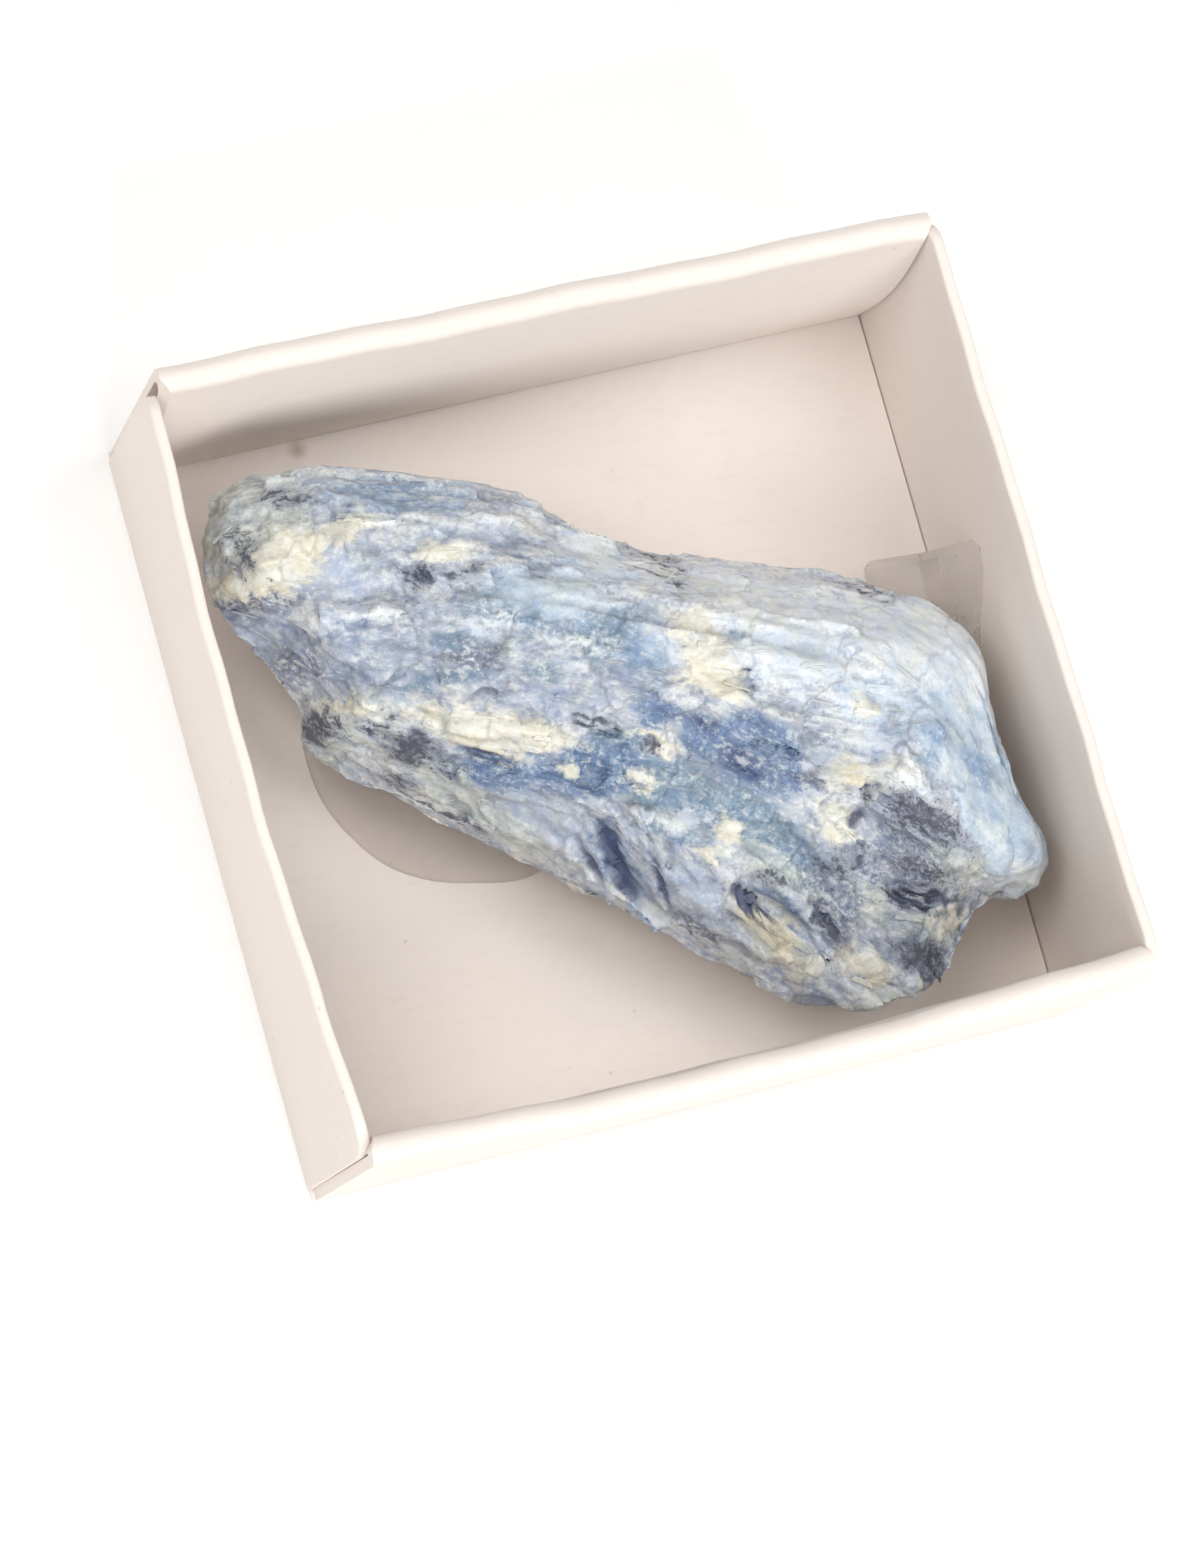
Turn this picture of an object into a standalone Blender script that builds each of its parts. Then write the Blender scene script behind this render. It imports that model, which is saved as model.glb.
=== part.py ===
"""Kyanite blade cluster glued in a small folded card tray.

Four pieces: the grown mass of kyanite blades, the card tray, the glue puddle under
the near flank and the glue fillet between the floor and the right wall.
Units are metres and +Z is up. The pieces are made around the middle of the folded floor,
and at the end the whole is moved so that the origin is at the bottom centre of its box.
Lists of places are in millimetres on the plan of the tray, turned into metres by MM.
"""
import math
import random

import bmesh
import bpy
from mathutils import Matrix, Vector
from mathutils.bvhtree import BVHTree
from mathutils.geometry import delaunay_2d_cdt

MM = 0.001

# Tray: one folded card blank with rolled double walls at the back and front
TRAY_LENGTH = 0.0400
TRAY_WIDTH = 0.0385
TRAY_HEIGHT = 0.0145
CARD = 0.0005
ROLL_RADIUS = 0.0007
LEAF_FOOT = 0.0013
BACK_LEAF_BULGE = 0.0006
FRONT_LEAF_BULGE = 0.0003
FRONT_BOW = 0.0007
LEFT_LEAN = 0.0005
LEFT_BOW = 0.0007
RIM_CORNER = 0.0012
SIDE_LEVELS = 4
WALL_START = 0.0002
FOLD_INSET = 0.0001
FOLD_RADIUS = 0.0003
END_INSET = 0.00015
WALL_STATIONS = 8
ROLL_STEPS = 6
LEAF_STEPS = 6

# Clearances
GAP = 0.0003
FLOOR_TOP = CARD
WALL_CLEARANCE = 0.00035

# Joining: points closer than WELD are one point, edges shorter than SLIVER are closed up
WELD = 0.0000001
SLIVER = 0.000001

# Widest line of the mass, seen from above, counter-clockwise from the left knob: x, y, z
LEFT_END = ((-18.7, 8.3, 7.8), (-17.9, 7.2, 7.5), (-17.0, 5.6, 7.0))
NEAR_FLANK = (
    (-15.5, 3.3, 6.0), (-15.6, 2.4, 5.0), (-14.6, 1.0, 4.0), (-12.6, -0.9, 4.0), (-10.2, -3.5, 4.0),
    (-7.7, -5.5, 4.2), (-5.7, -7.1, 4.5), (-3.6, -8.7, 5.0), (-1.8, -10.4, 6.0), (0.6, -13.0, 6.0),
    (3.3, -14.7, 6.0), (5.4, -16.3, 6.0), (7.9, -17.1, 7.0), (9.9, -17.2, 8.0),
)
RIGHT_END = (
    (12.4, -16.7, 7.0), (14.2, -14.9, 7.0), (15.3, -13.9, 7.0), (16.6, -14.3, 7.5), (18.0, -13.7, 8.0),
    (18.6, -12.6, 8.0), (18.5, -11.0, 8.0), (18.2, -7.8, 8.0), (17.9, -5.2, 8.0), (18.7, -2.1, 8.0),
    (18.1, -0.4, 8.0),
)
FAR_FLANK = (
    (16.5, 1.9, 8.0), (13.8, 3.5, 8.0), (10.5, 4.8, 8.0), (5.7, 6.4, 8.0), (2.8, 7.3, 8.0),
    (0.6, 8.7, 8.0), (-1.4, 10.6, 8.0), (-4.6, 12.3, 8.0), (-7.9, 13.5, 8.0), (-11.7, 14.5, 8.0),
    (-15.3, 15.1, 8.0), (-17.0, 14.6, 8.0), (-18.4, 12.4, 8.0), (-18.7, 10.4, 8.0),
)

# Spot heights of the upper side, by region
KNOB = ((-17.0, 13.3, 10.2), (-17.9, 10.9, 9.8), (-15.0, 12.8, 11.2))
CREAM_CRUST = ((-16.7, 9.6, 11.5), (-13.4, 10.3, 11.9), (-15.0, 8.3, 11.3))
TOP_EDGE = ((-11.5, 12.6, 11.0), (-7.6, 11.2, 11.2), (-4.4, 9.9, 11.0), (-2.0, 7.6, 11.4))
UPPER_TERRACE = (
    (-11.6, 8.8, 12.0), (-8.3, 7.9, 12.5), (-4.9, 6.0, 13.0), (-1.4, 4.2, 13.1),
    (-14.4, 5.5, 11.4), (-10.3, 4.4, 12.3), (-5.8, 2.7, 12.8), (-2.3, 0.4, 12.6),
)
LEDGE_TOP = ((-16.4, 4.1, 10.3), (-12.6, 2.7, 11.3), (-8.6, 1.2, 11.8), (-4.5, -0.3, 12.0))
LEDGE_FOOT = ((-15.6, 3.3, 8.8), (-12.5, 1.9, 9.7), (-8.5, 0.4, 10.3), (-4.4, -1.2, 10.8))
LOWER_TERRACE = ((-14.2, 1.9, 8.3), (-10.9, -0.2, 9.1), (-7.4, -2.0, 9.5), (-3.0, -3.5, 10.6))
LOWER_STRIP = ((-12.0, -0.8, 6.8), (-8.5, -3.6, 7.3), (-5.1, -5.6, 8.2))
CENTRE = (
    (2.7, 3.4, 12.5), (3.6, 0.0, 13.1), (7.9, 0.2, 12.7), (10.2, -2.9, 12.2), (2.0, -2.9, 12.0),
    (5.7, -5.1, 11.3), (8.6, -5.0, 12.1), (-1.7, -6.3, 10.4), (1.9, -7.7, 11.0), (5.9, -8.2, 11.2),
)
RIGHT_BUNCH = (
    (13.1, -0.8, 11.7), (15.9, -3.2, 10.6), (11.6, -5.6, 11.9), (15.7, -7.3, 10.6),
    (13.5, -10.9, 10.6), (16.6, -10.9, 9.6), (15.9, -12.6, 9.0), (12.6, -7.9, 11.7),
)
LOWER_RIGHT = (
    (10.3, -8.5, 10.6), (11.6, -10.9, 9.9), (8.4, -10.7, 10.5), (10.2, -12.9, 9.4), (11.5, -14.2, 9.0),
    (10.2, -15.9, 8.4), (7.0, -14.9, 9.0), (4.8, -14.3, 8.2), (0.5, -10.6, 9.2), (-1.1, -8.9, 9.0),
    (2.1, -12.6, 8.3),
)
UPPER_SPOTS = (
    KNOB + CREAM_CRUST + TOP_EDGE + UPPER_TERRACE + LEDGE_TOP + LEDGE_FOOT + LOWER_TERRACE
    + LOWER_STRIP + CENTRE + RIGHT_BUNCH + LOWER_RIGHT
)

# Underside: the widest line drawn in twice, then the facets the mass lies on
UNDERCUT_DROP = 0.45
UNDERCUT_SCALE = 0.88
SOLE_SCALE = 0.60
SOLE_LIFT = 1.9
SOLE_SPOTS = (
    (-9.0, 7.0, 0.8), (-4.0, 5.0, 0.8), (0.5, 1.5, 0.8), (1.0, -4.0, 0.8), (6.0, -3.0, 1.0),
    (7.0, -9.0, 0.8), (-8.5, 3.0, 2.4), (11.0, -6.0, 2.2), (-2.5, -2.5, 2.0), (3.0, -9.5, 2.1),
)
BODY_MIDDLE = (0.0, -1.5)

# Cross-section of one blade: share of its half width, share of its thickness
BLADE_SECTION = ((-1.0, -0.10), (-0.80, 0.50), (0.72, 0.50), (1.0, 0.05), (0.70, -0.5), (-0.70, -0.5))
END_SLANT = 0.9
END_RAKE = (0.2, 1.1)

# How far the blades of a bundle differ from each other
SIDE_SHIFT = 0.12
SLIDE = 0.10
TRIM = 0.22
PROUD_RANGE = (0.5, 1.3)
END_TILT = 0.10
SIDE_LEAN = 0.16
WIDTH_RANGE = (0.85, 1.25)

# Bundles of parallel blades on the upper side:
# name, start xy, end xy, spread across, blades, blade width, proud height, thickness
UPPER_BUNDLES = (
    ("rim blades", (-13.6, 13.3), (-3.2, 9.4), 2.2, 4, 0.8, 0.30, 1.0),
    ("knob ribs", (-17.6, 12.6), (-13.4, 13.4), 3.0, 4, 0.9, 0.25, 1.0),
    ("crust", (-18.0, 9.2), (-12.4, 10.4), 2.6, 3, 1.8, 0.50, 1.2),
    ("upper left plates", (-14.0, 7.2), (-5.6, 5.0), 3.6, 4, 1.4, 0.30, 0.9),
    ("upper plates", (-8.6, 9.0), (0.4, 5.4), 3.6, 4, 1.3, 0.28, 0.9),
    ("lavender plates", (-14.8, 4.8), (-4.2, 0.9), 2.4, 3, 1.2, 0.35, 1.0),
    ("middle plates", (-6.2, 3.8), (2.2, -0.4), 3.8, 5, 1.2, 0.30, 0.9),
    ("yellow band", (-10.6, 0.4), (-4.4, -1.4), 1.2, 2, 0.8, 0.35, 0.9),
    ("spotted strip", (-14.6, 1.9), (-8.6, -1.6), 2.0, 3, 0.8, 0.30, 0.9),
    ("cream centre", (-0.6, 6.2), (7.6, 1.8), 3.2, 4, 1.2, 0.30, 0.9),
    ("far edge", (3.0, 6.0), (14.4, 1.7), 2.0, 3, 0.9, 0.25, 0.9),
    ("white fibres", (4.2, 1.2), (11.2, -1.6), 3.2, 6, 0.65, 0.38, 0.8),
    ("teal blades", (-2.8, -3.6), (5.6, -6.6), 3.4, 5, 0.9, 0.32, 0.9),
    ("blue heart", (1.6, -1.8), (8.0, -5.8), 3.0, 4, 1.0, 0.30, 0.9),
    ("sky bunch", (11.0, 0.6), (17.0, -9.0), 6.0, 9, 0.85, 0.40, 1.0),
    ("sky ends", (12.6, -5.2), (17.0, -13.2), 4.6, 7, 0.80, 0.45, 1.1),
    ("beige plates", (6.6, -5.4), (12.2, -9.0), 2.6, 3, 1.0, 0.30, 0.9),
    ("grey steps", (6.2, -8.2), (12.8, -13.4), 4.2, 6, 0.95, 0.34, 0.9),
    ("corner blades", (5.4, -12.2), (11.4, -16.0), 3.2, 5, 0.9, 0.34, 1.0),
    ("slot blades", (-3.2, -6.4), (-0.4, -10.6), 4.2, 5, 0.85, 0.42, 1.0),
    ("flank plates", (-9.6, -1.8), (-2.4, -6.4), 2.6, 4, 1.1, 0.30, 0.9),
    ("lower flank", (1.0, -8.8), (4.6, -13.6), 3.4, 4, 1.0, 0.32, 0.9),
)
# The same on the underside
LOWER_BUNDLES = (
    ("under left", (-14.0, 9.5), (-5.0, 5.5), 5.0, 4, 1.8, 0.35, 1.2),
    ("under far", (-2.0, 6.5), (9.0, 1.5), 4.0, 4, 1.6, 0.35, 1.2),
    ("under near", (-9.5, 1.0), (0.0, -5.5), 4.4, 4, 1.5, 0.35, 1.2),
    ("under right", (6.0, -3.0), (13.5, -8.5), 5.0, 4, 1.6, 0.35, 1.2),
    ("under corner", (3.5, -9.0), (9.5, -13.5), 3.6, 3, 1.5, 0.35, 1.2),
)
# Long shingles on the steep sides: start xyz, end xyz, blades, width
SIDE_SHINGLES = (
    ("far left side", (-15.0, 14.6, 8.6), (-6.0, 12.4, 8.4), 3, 1.3),
    ("far middle side", (-4.6, 11.6, 8.8), (2.4, 7.2, 8.6), 3, 1.3),
    ("far right side", (4.4, 6.4, 7.4), (15.0, 2.6, 7.4), 3, 1.3),
    ("near left side", (-14.4, 0.7, 4.6), (-6.6, -6.2, 4.8), 3, 1.1),
    ("near middle side", (-5.0, -7.4, 5.2), (0.8, -12.6, 6.2), 3, 1.2),
    ("near right side", (2.2, -13.6, 6.4), (8.6, -16.6, 7.2), 3, 1.2),
    ("right side", (18.0, -2.6, 8.2), (18.0, -11.6, 8.2), 3, 1.3),
    ("left side", (-18.1, 8.6, 8.0), (-17.9, 12.6, 8.4), 2, 1.3),
)
SHINGLE_THICKNESS = 1.1
SHINGLE_OVERLAP = 0.85
SHINGLE_INSET = 0.50
SHINGLE_STEP_IN = 0.35
SHINGLE_SLIDE = 0.6
SHINGLE_LEAN = (-0.3, 0.5)

# Slots and pits: start xyz of the floor of the cut, end xyz, width
CUTS = (
    ("long slot", (-3.1, -6.9, 8.1), (-1.5, -9.9, 7.5), 0.75),
    ("second slot", (-4.5, -6.7, 7.6), (-3.3, -8.4, 6.8), 0.40),
    ("third slot", (-1.4, -6.9, 8.6), (-0.6, -8.8, 8.1), 0.35),
    ("cream hollow", (3.3, -11.4, 8.2), (6.6, -15.0, 7.4), 1.40),
    ("black slot", (5.9, -11.9, 8.4), (7.2, -14.3, 7.6), 0.45),
    ("hollow's head", (2.7, -10.6, 8.5), (3.3, -11.5, 8.2), 0.80),
    ("fissure", (-4.1, -0.7, 10.9), (-1.6, -2.2, 10.7), 0.55),
    ("dark pit", (-10.1, 8.1, 11.7), (-9.1, 6.9, 11.8), 0.90),
    ("small pit", (-8.1, 6.7, 12.1), (-7.5, 6.4, 12.1), 0.50),
    ("speckled step", (9.4, -7.5, 10.1), (13.3, -11.4, 9.2), 1.10),
    ("black crease", (9.7, -12.2, 8.5), (12.4, -13.3, 8.3), 0.65),
    ("crust shadow", (-17.6, 8.0, 10.0), (-13.2, 8.2, 11.1), 0.40),
    ("blue pocket", (-9.6, -1.1, 8.6), (-6.4, -2.4, 8.7), 0.80),
    ("heart pocket", (4.0, -3.6, 11.3), (7.2, -5.4, 10.6), 0.75),
    ("notch one", (14.1, -14.8, 7.2), (15.0, -12.9, 8.3), 0.45),
    ("notch two", (15.9, -15.2, 7.2), (16.1, -13.2, 8.3), 0.30),
    ("notch three", (17.3, -14.9, 7.2), (17.1, -13.4, 8.1), 0.30),
)
CUT_RISE = 3.2
CUT_FLARE = 0.25
CUT_FLOOR = (-0.70, 0.45)
CUT_MOUTH = (-1.15, 1.60)

# Glue puddle on the floor: middle, and its reach at equal steps of angle from +X
PUDDLE_MIDDLE = (-9.6, -1.2)
PUDDLE_REACH = (3.4, 3.4, 3.6, 4.0, 4.5, 4.8, 4.7, 4.4, 4.3, 4.4, 4.7, 4.8, 4.5, 4.0, 3.7, 3.5)
PUDDLE_RINGS = ((0.96, 0.00), (1.00, 0.16), (0.97, 0.36), (0.86, 0.56), (0.62, 0.68), (0.30, 0.74))

# Glue fillet along the right wall: y of its foot, reach on the floor, y at the wall, height
FILLET_STATIONS = (
    (5.0, 1.2, 4.2, 3.0), (5.3, 3.0, 3.9, 7.2), (4.9, 3.4, 3.3, 7.9), (3.4, 3.4, 2.2, 7.3),
    (1.8, 3.0, 1.0, 6.2), (0.2, 2.6, -0.2, 4.8), (-1.2, 2.0, -1.3, 3.6), (-2.2, 0.9, -2.2, 1.8),
)
FILLET_SAG = 0.22
FILLET_STEPS = 5


def clear_scene():
    for obj in list(bpy.data.objects):
        bpy.data.objects.remove(obj, do_unlink=True)


def make_material(name, colour, roughness, alpha=1.0):
    material = bpy.data.materials.new(name)
    material.use_nodes = True
    shader = material.node_tree.nodes["Principled BSDF"]
    shader.inputs["Base Color"].default_value = (*colour, 1.0)
    shader.inputs["Roughness"].default_value = roughness
    shader.inputs["Metallic"].default_value = 0.0
    shader.inputs["Alpha"].default_value = alpha
    return material


def make_object(name, bm, material=None):
    bmesh.ops.remove_doubles(bm, verts=bm.verts, dist=WELD)
    bmesh.ops.recalc_face_normals(bm, faces=bm.faces)
    mesh = bpy.data.meshes.new(name)
    bm.to_mesh(mesh)
    bm.free()
    obj = bpy.data.objects.new(name, mesh)
    bpy.context.scene.collection.objects.link(obj)
    if material is not None:
        mesh.materials.append(material)
    return obj


def evaluated_bmesh(obj):
    bm = bmesh.new()
    depsgraph = bpy.context.evaluated_depsgraph_get()
    bm.from_object(obj, depsgraph)
    return bm


def join_solid(target, others, operation):
    """Unite or cut the target with helper solids, then drop the helpers."""
    helpers = bpy.data.collections.new(target.name + "_helpers")
    for other in others:
        helpers.objects.link(other)
    modifier = target.modifiers.new("join", "BOOLEAN")
    modifier.operation = operation
    modifier.solver = "EXACT"
    modifier.operand_type = "COLLECTION"
    modifier.collection = helpers
    modifier.use_self = True
    bm = evaluated_bmesh(target)
    target.modifiers.remove(modifier)
    bm.to_mesh(target.data)
    bm.free()
    bpy.data.collections.remove(helpers)
    for other in others:
        bpy.data.objects.remove(other, do_unlink=True)


def skin_rings(bm, rings, close=True):
    """Quads between rings of equal length; the end rings are capped when close is set."""
    loops = [[bm.verts.new(point) for point in ring] for ring in rings]
    for lower, upper in zip(loops, loops[1:]):
        count = len(lower)
        for i in range(count):
            j = (i + 1) % count
            bm.faces.new((lower[i], lower[j], upper[j], upper[i]))
    if close:
        bm.faces.new(list(reversed(loops[0])))
        bm.faces.new(loops[-1])


# Card tray
def floor_plate():
    bm = bmesh.new()
    half_x = TRAY_LENGTH / 2 - FOLD_INSET
    half_y = TRAY_WIDTH / 2 - FOLD_INSET
    rings = []
    for step in range(4):
        angle = math.radians(30.0 * step)
        inset = FOLD_RADIUS * (1.0 - math.sin(angle))
        height = FOLD_RADIUS * (1.0 - math.cos(angle))
        rings.append(rectangle_ring(half_x - inset, half_y - inset, height))
    rings.append(rectangle_ring(half_x, half_y, FLOOR_TOP))
    skin_rings(bm, rings)
    return make_object("floor_plate", bm)


def rectangle_ring(half_x, half_y, z):
    return [(-half_x, -half_y, z), (half_x, -half_y, z), (half_x, half_y, z), (-half_x, half_y, z)]


def side_wall(side, lean, bow):
    """Single card wall at the left (-1) or right (+1), with rounded upper corners.

    Its rim leans outwards by lean at the back end and bows outwards by bow half way.
    """
    half_y = TRAY_WIDTH / 2 - CARD
    stations = []
    for angle in (0.0, math.pi / 6, math.pi / 3, math.pi / 2):
        stations.append((RIM_CORNER * (1.0 - math.cos(angle)) - half_y,
                         TRAY_HEIGHT - RIM_CORNER * (1.0 - math.sin(angle))))
    mirrored = [(-y, top) for y, top in reversed(stations)]
    flat = 2 * (half_y - RIM_CORNER)
    for station in range(1, WALL_STATIONS):
        stations.append((RIM_CORNER - half_y + flat * station / WALL_STATIONS, TRAY_HEIGHT))
    rings = []
    for y, top in stations + mirrored:
        share = (y + half_y) / (2 * half_y)
        swing = lean * share + 4 * bow * share * (1.0 - share)
        outer, inner = [], []
        for step in range(SIDE_LEVELS + 1):
            z = WALL_START + (top - WALL_START) * step / SIDE_LEVELS
            out = TRAY_LENGTH / 2 + swing * math.sin(0.5 * math.pi * z / TRAY_HEIGHT)
            outer.append((side * out, y, z))
            inner.append((side * (out - CARD), y, z))
        rings.append(outer + list(reversed(inner)))
    bm = bmesh.new()
    skin_rings(bm, rings)
    return make_object("side_wall", bm)


def double_wall(side, bulge, bow):
    """Rolled double wall at the back (+1) or front (-1); its rim bows outwards by bow."""
    profile = [(0.0, WALL_START), (0.0, TRAY_HEIGHT - ROLL_RADIUS)]
    for step in range(1, ROLL_STEPS):
        angle = math.pi * step / ROLL_STEPS
        profile.append((ROLL_RADIUS * (1.0 - math.cos(angle)),
                        TRAY_HEIGHT - ROLL_RADIUS + ROLL_RADIUS * math.sin(angle)))
    top = TRAY_HEIGHT - ROLL_RADIUS
    for step in range(LEAF_STEPS + 1):
        share = step / LEAF_STEPS
        depth = 2 * ROLL_RADIUS + (LEAF_FOOT - 2 * ROLL_RADIUS) * share
        depth += bulge * math.sin(math.pi * share)
        profile.append((depth, top + (WALL_START - top) * share))
    half_x = TRAY_LENGTH / 2 - END_INSET
    rings = []
    for station in range(WALL_STATIONS + 1):
        along = -1.0 + 2.0 * station / WALL_STATIONS
        swing = bow * (1.0 - along * along)
        rings.append([(half_x * along, side * (TRAY_WIDTH / 2 + swing * z / TRAY_HEIGHT - depth), z)
                      for depth, z in profile])
    bm = bmesh.new()
    skin_rings(bm, rings)
    return make_object("double_wall", bm)


def build_tray():
    tray = floor_plate()
    walls = [side_wall(-1, LEFT_LEAN, LEFT_BOW), side_wall(1, 0.0, 0.0),
             double_wall(1, BACK_LEAF_BULGE, 0.0), double_wall(-1, FRONT_LEAF_BULGE, FRONT_BOW)]
    join_solid(tray, walls, "UNION")
    tray.name = "card_tray"
    tray.data.materials.clear()
    tray.data.materials.append(make_material("tray_card", (0.83, 0.76, 0.70), 0.75))
    return tray


# Kyanite mass
def widest_line():
    return [Vector(point) for point in LEFT_END + NEAR_FLANK + RIGHT_END + FAR_FLANK]


def drawn_in(line, scale, drop, lift):
    """The widest line drawn towards the middle of the plan and lowered."""
    middle = Vector((*BODY_MIDDLE, 0.0))
    ring = []
    for point in line:
        flat = middle + (Vector((point.x, point.y, 0.0)) - middle) * scale
        ring.append(Vector((flat.x, flat.y, lift + (point.z - lift) * drop)))
    return ring


def fill_plan(bm, ring, spots, facing):
    """Triangulate a ring and the spots inside it, seen from above."""
    points = list(ring) + [Vector(spot) for spot in spots]
    plan = [point.xy for point in points]
    count = len(ring)
    boundary = [(i, (i + 1) % count) for i in range(count)]
    faces = delaunay_2d_cdt(plan, boundary, [], 1, 1e-6)[2]
    made = [bm.verts.new(point * MM) for point in points]
    for face in faces:
        order = face if facing > 0 else tuple(reversed(face))
        bm.faces.new([made[i] for i in order])


def build_core():
    line = widest_line()
    under = drawn_in(line, UNDERCUT_SCALE, UNDERCUT_DROP, SOLE_LIFT)
    sole = drawn_in(line, SOLE_SCALE, 0.0, SOLE_LIFT)
    bm = bmesh.new()
    skin_rings(bm, [[point * MM for point in ring] for ring in (line, under, sole)], close=False)
    fill_plan(bm, line, UPPER_SPOTS, 1)
    fill_plan(bm, sole, SOLE_SPOTS, -1)
    return make_object("kyanite_core", bm)


def blade_solid(name, start, end, up, width, thickness, rng):
    """One flattened crystal: six-sided across, both ends cut slanting."""
    along = (end - start).normalized()
    across = up.cross(along).normalized()
    up = along.cross(across).normalized()
    half = width / 2
    rings = []
    for place, sign in ((start, -1.0), (end, 1.0)):
        slant = rng.uniform(-END_SLANT, END_SLANT)
        rake = rng.uniform(*END_RAKE)
        ring = []
        for side, level in BLADE_SECTION:
            shift = sign * (slant * side * half - rake * level * thickness)
            ring.append(place + across * side * half + up * level * thickness + along * shift)
        rings.append(ring)
    bm = bmesh.new()
    skin_rings(bm, rings)
    return make_object(name, bm)


def surface_point(tree, x, y, direction):
    """Place and normal where a vertical line meets the core, from above or below."""
    origin = Vector((x * MM, y * MM, 0.05 if direction < 0 else -0.05))
    place, normal, _, _ = tree.ray_cast(origin, Vector((0.0, 0.0, direction)))
    return place, normal


def bundle_blades(tree, bundle, direction, rng):
    name, start, end, spread, count, width, proud, thickness = bundle
    axis = (Vector(end) - Vector(start)).normalized()
    side = Vector((-axis.y, axis.x))
    span = Vector(end) - Vector(start)
    blades = []
    for k in range(count):
        offset = spread * ((k + 0.5) / count - 0.5) + rng.uniform(-SIDE_SHIFT, SIDE_SHIFT) * width
        slide = rng.uniform(-SLIDE, SLIDE)
        trim = rng.uniform(0.0, TRIM)
        ends = []
        for share in (trim * 0.5 + slide, 1.0 - trim * 0.5 + slide):
            spot = Vector(start) + span * share + side * offset
            ends.append(surface_point(tree, spot.x, spot.y, direction))
        if any(place is None for place, _ in ends):
            continue
        up = (ends[0][1] + ends[1][1]).normalized()
        sink = (proud * rng.uniform(*PROUD_RANGE) - thickness / 2) * MM
        tilt = rng.uniform(-END_TILT, END_TILT) * MM
        first = ends[0][0] + up * (sink + tilt)
        last = ends[1][0] + up * (sink - tilt)
        lean = Matrix.Rotation(rng.uniform(-SIDE_LEAN, SIDE_LEAN), 3, (last - first).normalized())
        across = width * rng.uniform(*WIDTH_RANGE) * MM
        blades.append(blade_solid(name, first, last, lean @ up, across, thickness * MM, rng))
    return blades


def shingle_blades(shingle, rng):
    """Overlapping long plates that lie on a steep side, one above the other."""
    name, start, end, count, width = shingle
    start, end = Vector(start) * MM, Vector(end) * MM
    middle = Vector((BODY_MIDDLE[0] * MM, BODY_MIDDLE[1] * MM, start.z))
    along = (end - start).normalized()
    outward = Vector((along.y, -along.x, 0.0))
    if outward.dot((start + end) / 2 - middle) < 0:
        outward = -outward
    blades = []
    for k in range(count):
        place = k - (count - 1) / 2
        level = place * width * MM * SHINGLE_OVERLAP
        inward = (SHINGLE_INSET + SHINGLE_STEP_IN * abs(place)) * MM
        shift = Vector((0.0, 0.0, level)) - outward * inward
        slide = along * rng.uniform(-SHINGLE_SLIDE, SHINGLE_SLIDE) * MM
        up = (outward + Vector((0.0, 0.0, rng.uniform(*SHINGLE_LEAN)))).normalized()
        blades.append(blade_solid(name, start + shift + slide, end + shift - slide, up,
                                  width * MM, SHINGLE_THICKNESS * MM, rng))
    return blades


def cut_solid(cut):
    """Wedge-shaped hollow, narrow at its floor and open above."""
    name, start, end, width = cut
    start, end = Vector(start) * MM, Vector(end) * MM
    along = (end - start).normalized()
    across = Vector((-along.y, along.x, 0.0)).normalized()
    rise = Vector((0.0, 0.0, CUT_RISE * MM))
    half = width * MM / 2
    rings = []
    for place, sign in ((start, -1.0), (end, 1.0)):
        mouth = place + rise + along * sign * CUT_FLARE * MM
        rings.append([place + across * half * CUT_FLOOR[0], place + across * half * CUT_FLOOR[1],
                      mouth + across * half * CUT_MOUTH[1], mouth + across * half * CUT_MOUTH[0]])
    bm = bmesh.new()
    skin_rings(bm, rings)
    return make_object(name, bm)


def room_in_tray():
    """The space that the mass may fill, clear of the walls, floor and rim."""
    half_x = TRAY_LENGTH / 2 - CARD - WALL_CLEARANCE
    far_y = TRAY_WIDTH / 2 - LEAF_FOOT - BACK_LEAF_BULGE - WALL_CLEARANCE
    near_y = TRAY_WIDTH / 2 - LEAF_FOOT - FRONT_LEAF_BULGE - WALL_CLEARANCE
    rings = []
    for z in (FLOOR_TOP + GAP, TRAY_HEIGHT - GAP):
        rings.append([(-half_x, -near_y, z), (half_x, -near_y, z), (half_x, far_y, z), (-half_x, far_y, z)])
    bm = bmesh.new()
    skin_rings(bm, rings)
    return make_object("room", bm)


def keep_largest_body(bm):
    """Drop the chips that the cuts leave loose."""
    unseen = set(bm.verts)
    bodies = []
    while unseen:
        stack = [unseen.pop()]
        body = list(stack)
        while stack:
            for edge in stack.pop().link_edges:
                for vert in edge.verts:
                    if vert in unseen:
                        unseen.remove(vert)
                        body.append(vert)
                        stack.append(vert)
        bodies.append(body)
    bodies.sort(key=len, reverse=True)
    for body in bodies[1:]:
        bmesh.ops.delete(bm, geom=body, context="VERTS")


def tidy_mesh(obj):
    """Drop loose chips and slivers left by the joining and keep triangles only."""
    bm = bmesh.new()
    bm.from_mesh(obj.data)
    keep_largest_body(bm)
    bmesh.ops.triangulate(bm, faces=bm.faces)
    bmesh.ops.dissolve_degenerate(bm, dist=SLIVER, edges=bm.edges)
    bmesh.ops.triangulate(bm, faces=bm.faces)
    bm.to_mesh(obj.data)
    bm.free()


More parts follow.
